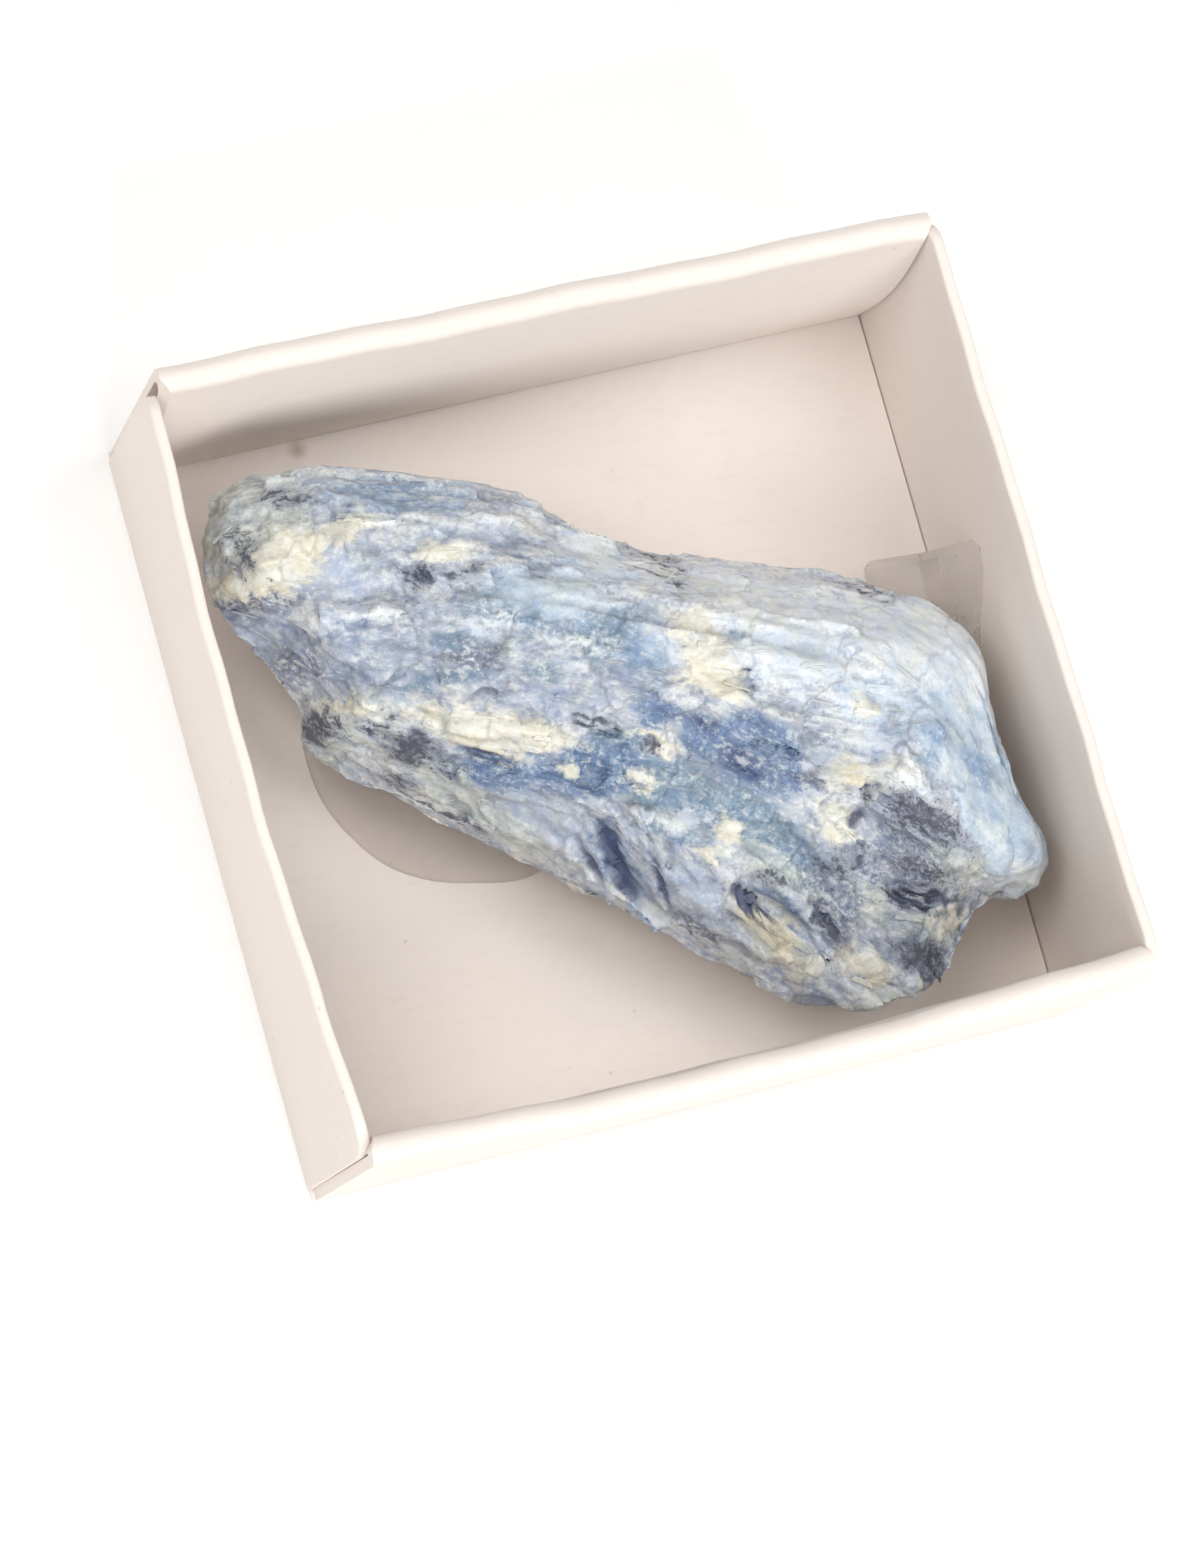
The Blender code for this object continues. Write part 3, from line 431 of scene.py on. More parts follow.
class Graph:
    """Builds the nodes of one material, of the world or of a geometry tree."""

    def __init__(self, owner, output="ShaderNodeOutputMaterial"):
        self.owner = owner
        if isinstance(owner, bpy.types.NodeTree):
            self.tree = owner
        else:
            owner.use_nodes = True
            self.tree = owner.node_tree
        self.tree.nodes.clear()
        self.output = self.tree.nodes.new(output)

    def node(self, kind, settings=None, values=None, output=0):
        made = self.tree.nodes.new(kind)
        for key, value in (settings or {}).items():
            if key == "stops":
                self.set_stops(made, value)
            else:
                setattr(made, key, value)
        for key, value in (values or {}).items():
            if isinstance(value, Value):
                self.tree.links.new(value.socket, made.inputs[key])
            else:
                made.inputs[key].default_value = value
        return Value(self, made.outputs[output])

    @staticmethod
    def set_stops(made, stops):
        ramp = made.color_ramp
        while len(ramp.elements) < len(stops):
            ramp.elements.new(0.5)
        for element, (place, colour) in zip(ramp.elements, stops):
            element.position = place
            element.color = (*colour, 1.0)

    def attribute(self, name, output="Fac"):
        return self.node("ShaderNodeAttribute", {"attribute_name": name}, output=output)

    def place(self):
        return self.node("ShaderNodeTexCoord", output="Object")

    def stretched(self, vector, scale):
        settings = {"operation": "MULTIPLY"}
        return self.node("ShaderNodeVectorMath", settings, {0: vector, 1: scale})

    def noise(self, vector, scale=1.0, detail=2.0, roughness=0.5):
        values = {"Vector": vector, "Scale": scale, "Detail": detail, "Roughness": roughness}
        return self.node("ShaderNodeTexNoise", {}, values)

    def ramp(self, factor, stops):
        return self.node("ShaderNodeValToRGB", {"stops": stops}, {0: factor})

    def mix(self, factor, first, second, blend="MIX"):
        settings = {"data_type": "RGBA", "blend_type": blend}
        pair = []
        for colour in (first, second):
            pair.append(colour if isinstance(colour, Value) else (*colour, 1.0))
        return self.node("ShaderNodeMix", settings, {0: factor, 6: pair[0], 7: pair[1]}, output=2)

    def bump(self, height, strength, distance):
        values = {"Height": height, "Strength": strength, "Distance": distance}
        return self.node("ShaderNodeBump", {}, values)

    def end(self, name, kind, values):
        """Adds a node and links it to that input of the output node."""
        made = self.node(kind, {}, values)
        self.tree.links.new(made.socket, self.output.inputs[name])
        return self.owner

    def surface(self, values):
        return self.end("Surface", "ShaderNodeBsdfPrincipled", values)


def new_object(name, data):
    """An object with that data, linked to the scene."""
    obj = bpy.data.objects.new(name, data)
    bpy.context.scene.collection.objects.link(obj)
    return obj


def new_piece(name, points, faces):
    """A mesh object at the origin, linked to the scene."""
    mesh = bpy.data.meshes.new(name)
    mesh.from_pydata([tuple(point) for point in points], [], faces)
    mesh.validate()
    return new_object(name, mesh)


def skin(rings, name):
    """A closed mesh through rings of equal length, with both ends capped."""
    points = [point for ring in rings for point in ring]
    count = len(rings[0])
    faces = [tuple(reversed(range(count))), tuple(range(len(points) - count, len(points)))]
    for r in range(len(rings) - 1):
        for i in range(count):
            j = (i + 1) % count
            faces.append((r * count + i, r * count + j, (r + 1) * count + j, (r + 1) * count + i))
    obj = new_piece(name, points, faces)
    bm = bmesh.new()
    bm.from_mesh(obj.data)
    bmesh.ops.triangulate(bm, faces=[face for face in bm.faces if len(face.verts) > 4])
    bmesh.ops.recalc_face_normals(bm, faces=bm.faces)
    bm.to_mesh(obj.data)
    bm.free()
    return obj


def packed_form(node, name):
    """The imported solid's form as an object of its own, with the shared corners joined."""
    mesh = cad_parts[node].data.copy()
    bm = bmesh.new()
    bm.from_mesh(mesh)
    bmesh.ops.remove_doubles(bm, verts=bm.verts, dist=WELD)
    bm.to_mesh(mesh)
    bm.free()
    return new_object(name, mesh)


def even_out(obj, size):
    """Gives the object an even mesh of faces of about that size."""
    remesh = obj.modifiers.new("even", "REMESH")
    remesh.mode = "VOXEL"
    remesh.voxel_size = size
    remesh.adaptivity = 0.0


def plain_mesh(obj, name):
    """The evaluated object as a plain mesh object, in place of the one with modifiers."""
    depsgraph = bpy.context.evaluated_depsgraph_get()
    mesh = bpy.data.meshes.new_from_object(obj.evaluated_get(depsgraph), depsgraph=depsgraph)
    bpy.data.objects.remove(obj, do_unlink=True)
    mesh.name = name
    return new_object(name, mesh)


def smooth_faces(mesh, angle=None):
    """Shades the faces smooth, apart from edges sharper than the angle in degrees."""
    mesh.polygons.foreach_set("use_smooth", [True] * len(mesh.polygons))
    if angle is not None:
        mesh.set_sharp_from_angle(angle=math.radians(angle))


def camera_axes():
    """Right, up and back of the camera, from its azimuth, elevation and roll."""
    level = math.cos(CAMERA_ELEVATION)
    back = Vector((math.sin(CAMERA_AZIMUTH) * level, -math.cos(CAMERA_AZIMUTH) * level,
                   math.sin(CAMERA_ELEVATION)))
    side = Vector((0.0, 0.0, 1.0)).cross(back).normalized()
    top = back.cross(side)
    right = side * math.cos(CAMERA_ROLL) + top * math.sin(CAMERA_ROLL)
    return right, back.cross(right), back


def camera_place():
    return CAMERA_AIM + SHIFT + camera_axes()[2] * CAMERA_DISTANCE


def in_picture(points):
    """Where points of the row frame fall in the picture, in picture points."""
    right, top, back = (np.array(axis) for axis in camera_axes())
    rays = points - np.array(camera_place())
    scale = LENS / SENSOR_WIDTH * PICTURE_WIDTH / -(rays @ back)
    return np.stack([PICTURE_WIDTH / 2 + (rays @ right) * scale,
                     PICTURE_HEIGHT / 2 - (rays @ top) * scale], 1)


def on_floor(across, down, height):
    """The plan place of a picture point at a height above the table."""
    right, top, back = camera_axes()
    reach = LENS / SENSOR_WIDTH * PICTURE_WIDTH
    ray = (right * (across - PICTURE_WIDTH / 2) - top * (down - PICTURE_HEIGHT / 2)) / reach - back
    eye = camera_place()
    return eye + ray * ((height - eye.z) / ray.z)


# Large odd numbers that scatter the digits of a lattice point, and the bits that are kept
SCATTER = (374761393, 668265263, 2147483647, 1274126177)
KEPT_BITS = 0xFFFFFFFF


def lattice(i, j, k, salt):
    """A number from 0 to 1 for each whole point, the same in each run."""
    first, second, third, last = SCATTER
    code = (i * first + j * second + k * third + salt * last) & KEPT_BITS
    code = ((code ^ (code >> 13)) * last) & KEPT_BITS
    code = code ^ (code >> 16)
    return (code & 0xFFFFFF) / 0xFFFFFF


def soft_noise(points, salt):
    """Smooth noise from 0 to 1 with one bump per unit."""
    base = np.floor(points).astype(np.int64)
    part = points - base
    part = part * part * (3.0 - 2.0 * part)
    total = np.zeros(len(points))
    for corner in range(8):
        step = np.array([corner & 1, corner >> 1 & 1, corner >> 2 & 1])
        weight = np.prod(np.where(step, part, 1.0 - part), axis=1)
        total += weight * lattice(*(base + step).T, salt)
    return total


def noise_pair(points, salt):
    """Two smooth noises from -0.5 to 0.5, one for each direction of the picture."""
    return np.stack([soft_noise(points, salt), soft_noise(points, salt + 1)], 1) - 0.5


def rising(values, start, gain):
    """0 up to the start, then growing by the gain to 1."""
    return np.clip((values - start) * gain, 0.0, 1.0)


def cell_noise(points, salt):
    """Random number of the nearest cell, offset from its middle, and nearness to its border."""
    base = np.floor(points).astype(np.int64)
    nearest = np.full(len(points), 9.0)
    second = np.full(len(points), 9.0)
    number = np.zeros(len(points))
    offset = np.zeros((len(points), 3))
    for step in np.ndindex(3, 3, 3):
        cell = base + np.array(step) - 1
        middle = cell + np.stack([lattice(*cell.T, salt + axis) for axis in range(3)], 1)
        away = points - middle
        distance = np.sqrt((away * away).sum(1))
        closer = distance < nearest
        second = np.where(closer, nearest, np.minimum(second, distance))
        number = np.where(closer, lattice(*cell.T, salt + 5), number)
        offset = np.where(closer[:, None], away, offset)
        nearest = np.where(closer, distance, nearest)
    return number, offset, second - nearest


def smoothed(mesh, values, rounds):
    """The values averaged over each point's neighbours, a few times."""
    pairs = np.empty(len(mesh.edges) * 2, np.int32)
    mesh.edges.foreach_get("vertices", pairs)
    first, second = pairs[0::2], pairs[1::2]
    count = 1.0 + np.bincount(pairs, minlength=len(values))
    for _ in range(rounds):
        total = values + np.bincount(first, values[second], len(values))
        total += np.bincount(second, values[first], len(values))
        values = total / count
    return values


def patch_cover(picture, patch, soft=14.0):
    """1 well inside an oval patch, 0 well outside it, one half on its edge."""
    across, down, length, width, turn = patch
    angle = math.radians(turn)
    dx = picture[:, 0] - across
    dy = down - picture[:, 1]
    along = (dx * math.cos(angle) + dy * math.sin(angle)) / (length / 2)
    over = (dy * math.cos(angle) - dx * math.sin(angle)) / (width / 2)
    depth = (1.0 - np.hypot(along, over)) * min(length, width) / 2
    edge = min(soft, 0.4 * min(length, width) + 1.0)
    return np.clip(0.5 + depth / (2 * edge), 0.0, 1.0)


def widest_cover(picture, patches):
    """How far the oval patches cover each point, all together."""
    return np.max([patch_cover(picture, patch) for patch in patches], axis=0)


def plain_form(mesh, points, closed):
    """The points with slots and steps averaged out, the more so over the closed slot."""
    plain = np.stack([smoothed(mesh, values, PLAIN_ROUNDS) for values in points.T], 1)
    deep = np.stack([smoothed(mesh, values, CLOSED_ROUNDS) for values in plain.T], 1)
    return plain + (deep - plain) * closed[:, None]


def move_points(mesh, points):
    mesh.vertices.foreach_set("co", points.astype(np.float32).ravel())
    mesh.update()


def fine_copy(look):
    """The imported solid's form as an even mesh of small faces."""
    form = packed_form("kyanite_specimen", "mass_form")
    even_out(form, look.grain)
    return plain_mesh(form, "kyanite_mass")


def read_mesh(mesh):
    """Normals and places of the mesh's points."""
    count = len(mesh.vertices)
    points = np.empty(count * 3)
    normals = np.empty(count * 3)
    mesh.vertices.foreach_get("co", points)
    mesh.vertices.foreach_get("normal", normals)
    return normals.reshape(-1, 3), points.reshape(-1, 3)


def directions(bundle):
    """Cosine and sine of each point's direction of its blades on the plan."""
    angles = np.radians([entry[2] for entry in BUNDLES])[bundle]
    return np.cos(angles), np.sin(angles)


def grain_of(points, picture):
    """Each point's place in the frame of its bundle, in millimetres, along the blades first."""
    flat = points / MM
    wander = noise_pair(flat * 0.45, 11) + 0.5 * noise_pair(flat * 1.6, 13)
    warped = picture + wander * BUNDLE_WANDER
    middles = np.array([bundle[:2] for bundle in BUNDLES], float)
    distance = ((warped[:, None, :] - middles[None]) ** 2).sum(2)
    chosen = distance.argmin(1)
    cos, sin = directions(chosen)
    along = flat[:, 0] * cos + flat[:, 1] * sin
    across = flat[:, 1] * cos - flat[:, 0] * sin
    shift = chosen * 7.3
    return np.stack([along + shift, across + shift * 0.6, flat[:, 2] + 0.12 * along], 1), chosen


def colour_masks(points, picture, grain, shown):
    """How far each colour covers each point."""
    ragged = noise_pair(grain * (0.8, 2.6, 2.6), 21)
    fine = noise_pair(points / MM * 4.0, 23)
    warped = picture + ragged * EDGE_WANDER + fine * FINE_WANDER
    masks = {}
    for salt, (name, patches) in enumerate(PATCHES.items()):
        places = picture + fine * SLOT_WANDER if name == "slot" else warped
        hidden = soft_noise(grain * (0.16, 0.55, 0.55) + salt * 3.7, 31 + salt)
        hidden = 0.6 * hidden + 0.4 * soft_noise(grain * (0.5, 1.7, 1.7) + salt, 51 + salt)
        hidden = np.clip((hidden - HIDDEN_SHARE[name]) * 5.0 + 0.5, 0.0, 1.0)
        masks[name] = widest_cover(places, patches) * shown + hidden * (1.0 - shown)
    return masks


def tuck_of(picture):
    """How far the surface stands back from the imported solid."""
    tuck = np.zeros(len(picture))
    for *patch, depth in TUCKS:
        tuck += patch_cover(picture, patch, 26.0) * depth * MM
    return tuck


def steps_of(grain, size, salt, turns, slope):
    """Each cell's number, a height that steps from cell to cell, and nearness to its border."""
    number, offset, border = cell_noise(grain / size, salt)
    tilt = (number * turns % 1.0 - 0.5) * slope
    return number, (number - 0.5) * 2.0 + offset[:, 1] * tilt, border


def relief_of(look, points, grain, masks, calm, shown):
    """Height of the surface over the plain form in millimetres, and the cells' numbers."""
    flat = points / MM
    rough = 1.0 - 0.58 * calm
    plate, plates, _ = steps_of(grain, *PLATE_CELLS)
    blade, blades, border = steps_of(grain, *BLADE_CELLS)
    parts = {
        "groove": -np.clip(0.22 - border, 0.0, 0.22) / 0.22,
        "fibre": soft_noise(grain * (0.45, 4.2, 4.2), 161) - 0.5,
        "lumps": soft_noise(flat * 0.9, 171) - 0.5,
        "crumbs": soft_noise(flat * 3.6, 181) - 0.5,
        "crumble": soft_noise(flat * 4.4, 191) - 0.6,
        "crust": rising(masks["cream"], 0.3, 2.0),
        "crack": rising(masks["crack"], 0.3, 1.6),
        "slot": rising(masks["slot"], 0.2, 1.6),
    }
    parts = {name: part * RELIEF[name] for name, part in parts.items()}
    broken = np.clip(masks["speck"] + masks["slate"], 0.0, 1.0)
    crumbly = np.maximum(broken, masks["greygreen"] * 0.6)
    height = look.plate_relief * plates + look.blade_relief * blades
    height = (height + parts["groove"] + parts["fibre"]) * (1.0 - 0.6 * broken)
    height = (height + parts["lumps"] + crumbly * parts["crumble"]) * rough
    height = height + parts["crumbs"] * (0.4 + 0.6 * rough) + parts["crust"]
    return height - (parts["crack"] + parts["slot"]) * shown, plate, blade


def write_attributes(mesh, grain, bundle, masks, relief, calm, facing):
    cos, sin = directions(bundle)
    along = np.stack([cos, sin, np.full(len(cos), -0.10)], 1)
    for name, values in (("grain", grain), ("along", along)):
        attribute = mesh.attributes.new(name, "FLOAT_VECTOR", "POINT")
        attribute.data.foreach_set("vector", values.astype(np.float32).ravel())
    ridge = np.clip(0.5 + relief / 0.55, 0.0, 1.0)
    sliver = 0.35 + 0.9 * np.maximum(masks["cream"], masks["white"]) + 0.5 * masks["greygreen"]
    sliver *= (1.0 - 0.7 * calm) * np.clip(np.abs(facing - 0.1) * 4.0 - 1.8, 0.0, 1.0)
    sliver *= 1.0 - np.maximum(masks["slot"], masks["crack"])
    for name, values in {**masks, "ridge": ridge, "sliver": sliver, "calm": calm}.items():
        attribute = mesh.attributes.new(name, "FLOAT", "POINT")
        attribute.data.foreach_set("value", values.astype(np.float32))


class KYANITE_OT_mass(bpy.types.Operator):
    """Make the mass of blades with its plates, fine blades and colours"""

    bl_idname = "kyanite.mass"
    bl_label = "Mass of blades"

    def execute(self, context):
        look = context.scene.kyanite_mass
        mass = fine_copy(look)
        mesh = mass.data
        normals, points = read_mesh(mesh)
        picture = in_picture(points)
        grain, bundle = grain_of(points, picture)
        facing = normals @ np.array(camera_axes()[2])
        shown = np.clip(facing * 4.0 + 0.6, 0.0, 1.0)
        upper = np.maximum(shown, rising(points[:, 2] / MM, SLOT_FLOOR, 1.0))
        level = widest_cover(picture, LEVEL_PLACES) * upper
        covered = np.maximum(shown, rising(level, 0.0, 1.6))
        masks = colour_masks(points, picture, grain, covered)
        calm = widest_cover(picture, SMOOTH_FACES) * covered
        relief, plate, blade = relief_of(look, points, grain, masks, calm, shown)
        relief = smoothed(mesh, relief * (1.0 - 0.9 * level * (1.0 - shown)), 1)

        plain = plain_form(mesh, points, patch_cover(picture, CLOSED_SLOT) * upper)
        hollow = ((plain - points) * normals).sum(1)
        fill = FILL["plain"] + FILL["speck"] * masks["speck"] + FILL["crack"] * masks["crack"]
        fill = np.clip(fill, 0.0, FILL["most"]) * shown
        fill = np.where(hollow > 0.0, fill, FILL["bump"])
        form = points + normals * (hollow * fill)[:, None]
        lifted = plain + normals * (LEVEL_LIFT * shown)[:, None]
        form += (lifted - form) * (0.96 * level)[:, None]
        form -= normals * tuck_of(picture)[:, None]
        move_points(mesh, form)
        normals, form = read_mesh(mesh)
        move_points(mesh, form + normals * relief[:, None] * MM)

        masks = {**masks, "plate": plate, "blade": blade}
        write_attributes(mesh, grain, bundle, masks, relief, calm, facing)
        smooth_faces(mesh, 38.0)
        mesh.materials.clear()
        mesh.materials.append(kyanite_material())
        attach(mass, "root")
        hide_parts("kyanite_specimen")
        return {"FINISHED"}


def kyanite_material():
    """Layers of colour whose edges follow the blades, with flakes and painted glints, specks, dark
    cracks and painted shade in the hollows.
    """
    graph = Graph(bpy.data.materials.new("kyanite_finish"))
    grain = graph.attribute("grain", "Vector")
    place = graph.place()
    ridge = graph.attribute("ridge")
    speck = graph.attribute("speck")
    streak, band, pale, dusk, dust = (graph.noise(graph.stretched(grain, stretch), *settings)
                                      for stretch, *settings in BLADE_NOISES)
    cloud, crumb, grit, kind = (graph.noise(place, *settings) for settings in OPEN_NOISES)

    facet = graph.attribute("plate") * 0.07 + graph.attribute("blade") * 0.13 - 0.10
    tone = (streak * 0.32 + band * 0.12 + grit * 0.34 + cloud * 0.22 + facet).step(0.5, 0.46)
    deep_tone = (grit * 0.50 + crumb * 0.25 + streak * 0.25).step(0.5, 0.28)
    broken = (speck + graph.attribute("slate")).clamped()
    tone = tone + (deep_tone - tone) * broken
    edge = streak * 0.35 + grit * 0.40 + crumb * 0.25 - 0.5
    colour = graph.ramp(tone, tone_stops(*BASE_COLOUR))
    for name, (dark, middle, light, ragged, share) in COLOURS.items():
        softness = 0.62 if name in SOFT_COLOURS else 0.40
        cover = (graph.attribute(name) + edge * ragged * 1.9).step(0.46, softness) * share
        shift = deep_tone if name in DEEP_COLOURS else tone
        colour = graph.mix(cover, colour, graph.ramp(shift, tone_stops(dark, middle, light)))
    warmth = graph.ramp(kind, WARMTH_STOPS)
    colour = graph.mix(0.9, colour, warmth, "MULTIPLY")

    loose = (1.0 - graph.attribute("calm") * 0.65 - graph.attribute("white") * 0.35).clamped()
    deep = graph.attribute("blue") + graph.attribute("teal") + graph.attribute("navy")
    deep = deep.clamped()
    quiet = 1.0 - deep * 0.6
    fields = {
        "dusk": (dusk - graph.attribute("cream") * 0.08, loose),
        "pale": (pale + ridge * 0.06 - deep * 0.03, loose),
        # Painted shade in small pits, stronger where the ridge attribute is low
        "pore": (grit * 0.6 + crumb * 0.4 - ridge * 0.12, loose),
        "frost": (grit * 0.6 + crumb * 0.6 + ridge * 0.25, quiet),
        # White flakes and painted glints, favoured on the ridges
        "flake": (crumb * 0.75 + grit * 0.25 + ridge * 0.08, quiet),
        "ground": (speck + edge, 1.0),
        "grains": (speck * 0.33 + grit * 0.35 + crumb * 0.40 + dust * 0.25 - ridge * 0.08, 1.0),
        "crack": (graph.attribute("crack") + edge * 1.2, 1.0),
        "slot": (graph.attribute("slot"), 1.0),
    }
    for name, (field, room) in fields.items():
        layer, start, width, share = LAYERS[name]
        colour = graph.mix(field.step(start, width) * room * share, colour, tint(*layer))
    # Painted shade: the colour is darkened where the relief is low, in the hollows
    colour = graph.mix(0.8, colour, graph.ramp(ridge, SHADE_STOPS), "MULTIPLY")
    return graph.surface({
        **CRYSTAL,
        "Base Color": colour,
        "Roughness": 0.60 - band * 0.26,
        "Normal": graph.bump(streak * 0.5 + grit * 0.3 + crumb * 0.2, *CRYSTAL_BUMP),
    })


# A sliver's ends: place along it, slant and width. Its section, one unit wide and high, the turns
# about its axes in radians, and its length, width and height as shares of the length that is set
SLIVER_ENDS = ((-0.5, 0.16, 1.0), (0.5, -0.22, 0.7))
SLIVER_SECTION = ((-0.5, 0.0), (-0.30, 0.5), (0.34, 0.42), (0.5, -0.05), (0.1, -0.5))
SLIVER_SWAY = {"Min": (-0.6, -0.07, -0.22), "Max": (0.6, 0.07, 0.22)}
SLIVER_SIZE = {"Min": (0.5, 0.12, 0.07), "Max": (1.9, 0.45, 0.14)}


def sliver_form():
    """One thin flattened crystal, one unit long, with slanting ends."""
    rings = [[(end + slant * side, side * width, level) for side, level in SLIVER_SECTION]
             for end, slant, width in SLIVER_ENDS]
    return skin(rings, "sliver_form")


def sliver_tree(template):
    """The scattering tree and the identifiers of its inputs."""
    tree = bpy.data.node_groups.new("slivers", "GeometryNodeTree")
    face = tree.interface
    face.new_socket("Geometry", in_out="INPUT", socket_type="NodeSocketGeometry")
    keys = {}
    for name, kind in (("Length", "NodeSocketFloat"), ("Density", "NodeSocketFloat"),
                       ("Seed", "NodeSocketInt"), ("Material", "NodeSocketMaterial")):
        keys[name] = face.new_socket(name, in_out="INPUT", socket_type=kind).identifier
    face.new_socket("Geometry", in_out="OUTPUT", socket_type="NodeSocketGeometry")

    graph = Graph(tree, "NodeGroupOutput")
    mesh = graph.node("NodeGroupInput", output="Geometry")
    density = graph.node("GeometryNodeInputNamedAttribute", {"data_type": "FLOAT"},
                         {"Name": "sliver"}, "Attribute")
    points = graph.node("GeometryNodeDistributePointsOnFaces",
                        {"distribute_method": "RANDOM"},
                        {"Mesh": mesh, "Density": mesh.beside("Density") * density,
                         "Seed": mesh.beside("Seed")}, "Points")
    along = graph.node("GeometryNodeInputNamedAttribute", {"data_type": "FLOAT_VECTOR"},
                       {"Name": "along"}, "Attribute")
    turn = graph.node("FunctionNodeAxesToRotation",
                      {"primary_axis": "Z", "secondary_axis": "X"},
                      {"Primary Axis": points.beside("Normal"), "Secondary Axis": along})
    sway = graph.node("FunctionNodeRandomValue", {"data_type": "FLOAT_VECTOR"}, SLIVER_SWAY)
    tilt = graph.node("FunctionNodeRotateRotation", {"rotation_space": "LOCAL"},
                      {"Rotation": turn, "Rotate By": sway})
    size = graph.node("FunctionNodeRandomValue", {"data_type": "FLOAT_VECTOR"},
                      {**SLIVER_SIZE, "Seed": mesh.beside("Seed")})
    scale = graph.node("ShaderNodeVectorMath", {"operation": "SCALE"},
                       {0: size, "Scale": mesh.beside("Length")})
    form = graph.node("GeometryNodeObjectInfo", {}, {"Object": template}, "Geometry")
    copies = graph.node("GeometryNodeInstanceOnPoints", {},
                        {"Points": points, "Instance": form, "Rotation": tilt,
                         "Scale": scale})
    real = graph.node("GeometryNodeRealizeInstances", {}, {"Geometry": copies})
    graph.end("Geometry", "GeometryNodeSetMaterial",
              {"Geometry": real, "Material": mesh.beside("Material")})
    return tree, keys


class KYANITE_OT_slivers(bpy.types.Operator):
    """Scatter thin slivers and flakes along the blades of the mass"""

    bl_idname = "kyanite.slivers"
    bl_label = "Slivers"

    def execute(self, context):
        look = context.scene.kyanite_mass
        mass = bpy.data.objects["kyanite_mass"]
        template = sliver_form()
        carrier = new_object("sliver_carrier", mass.data)
        modifier = carrier.modifiers.new("slivers", "NODES")
        modifier.node_group, keys = sliver_tree(template)
        modifier[keys["Length"]] = look.sliver_length
        modifier[keys["Density"]] = look.sliver_density
        modifier[keys["Seed"]] = look.seed
        modifier[keys["Material"]] = mass.data.materials[0]
        slivers = plain_mesh(carrier, "kyanite_slivers")
        bpy.data.objects.remove(template, do_unlink=True)
        if not slivers.data.polygons:
            raise RuntimeError("no slivers were made")
        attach(slivers, "root")
        return {"FINISHED"}


def closed_curve(corners, steps):
    """Points of a smooth closed curve through the corners."""
    count = len(corners)
    points = []
    for i in range(count):
        before, start, end, after = (corners[(i + k) % count] for k in (-1, 0, 1, 2))
        for step in range(steps):
            t = step / steps
            points.append(0.5 * (2 * start + (end - before) * t
                                 + (2 * before - 5 * start + 4 * end - after) * t ** 2
                                 + (3 * start - before - 3 * end + after) * t ** 3))
    return points


def quarter(steps):
    """One less the cosine and one less the sine of each angle from 0 to a quarter turn."""
    angles = [math.pi / 2 * step / steps for step in range(steps + 1)]
    return [(1.0 - math.cos(angle), 1.0 - math.sin(angle)) for angle in angles]


def join_panels(panels):
    bm = bmesh.new()
    for panel in panels:
        bm.from_mesh(panel.data)
        bpy.data.objects.remove(panel, do_unlink=True)
    mesh = bpy.data.meshes.new("card_tray_folded")
    bm.to_mesh(mesh)
    bm.free()
    mesh.transform(Matrix.Translation(SHIFT))
    smooth_faces(mesh, 40.0)
    return new_object("card_tray_folded", mesh)


def tray_floor(sizes):
    """The tray's floor, with its three folded edges rounded below."""
    half_y = TRAY_WIDTH / 2 - FLOOR_INSET
    left = -TRAY_LENGTH / 2 + FLOOR_INSET
    right = TRAY_LENGTH / 2 - sizes.side_card - sizes.slit
    sections = [(FOLD * fall, FOLD * rise) for rise, fall in quarter(5)] + [(0.0, sizes.card)]
    rings = []
    for inset, height in sections:
        near, far, start = inset - half_y, half_y - inset, left + inset
        rings.append([(start, near, height), (right, near, height), (right, far, height),
                      (start, far, height)])
    return skin(rings, "floor")


def single_wall(sizes, side, leans, bow, front_corner):
    """One upright sheet of card, leaning out by its own share at its front and back ends."""
    half_y = TRAY_WIDTH / 2 - sizes.card - sizes.seam
    stations = [(front_corner * rise - half_y, TRAY_HEIGHT - front_corner * fall)
                for rise, fall in quarter(8)]
    flat = 2 * half_y - front_corner - sizes.corner
    stations += [(front_corner - half_y + flat * step / WALL_STEPS, TRAY_HEIGHT)
                 for step in range(1, WALL_STEPS)]
    stations += [(half_y - sizes.corner * fall, TRAY_HEIGHT - sizes.corner * rise)
                 for rise, fall in quarter(8)]
    rings = []
    for y, top in stations:
        share = (y + half_y) / (2 * half_y)
        swing = leans[0] * (1.0 - share) + leans[1] * share + 4 * bow * share * (1.0 - share)
        swing += 0.04 * MM * math.sin(share * 21.0 + side) + 0.03 * MM * math.sin(share * 47.0)
        reach = sizes.front_lean * (1.0 - share)
        ring = []
        for depth, z in card_section(sizes.side_card, top):
            out = TRAY_LENGTH / 2 - depth + swing * math.sin(0.5 * math.pi * z / TRAY_HEIGHT)
            ring.append((side * out, y - reach * z / TRAY_HEIGHT, z))
        rings.append(ring)
    return skin(rings, "single_wall")


def card_section(card, top):
    """Depth behind the outer face and height, round the section of an upright sheet."""
    section = [(FOLD * (1.0 - math.cos(a)) + FOLD_LIFT, FOLD * (1.0 - math.sin(a)))
               for a in (1.5, 1.0, 0.5, 0.0)]
    shoulder = top - CUT_EDGE
    section += [(0.0, FOLD + (shoulder - FOLD) * step / 10) for step in range(1, 11)]
    section += [(CUT_EDGE * rise, top - CUT_EDGE * fall) for rise, fall in quarter(3)[1:]]
    section += [(card - CUT_EDGE * fall, top - CUT_EDGE * rise) for rise, fall in quarter(3)]
    return section + [(card, shoulder - (shoulder - 0.1 * MM) * step / 10)
                      for step in range(1, 11)]


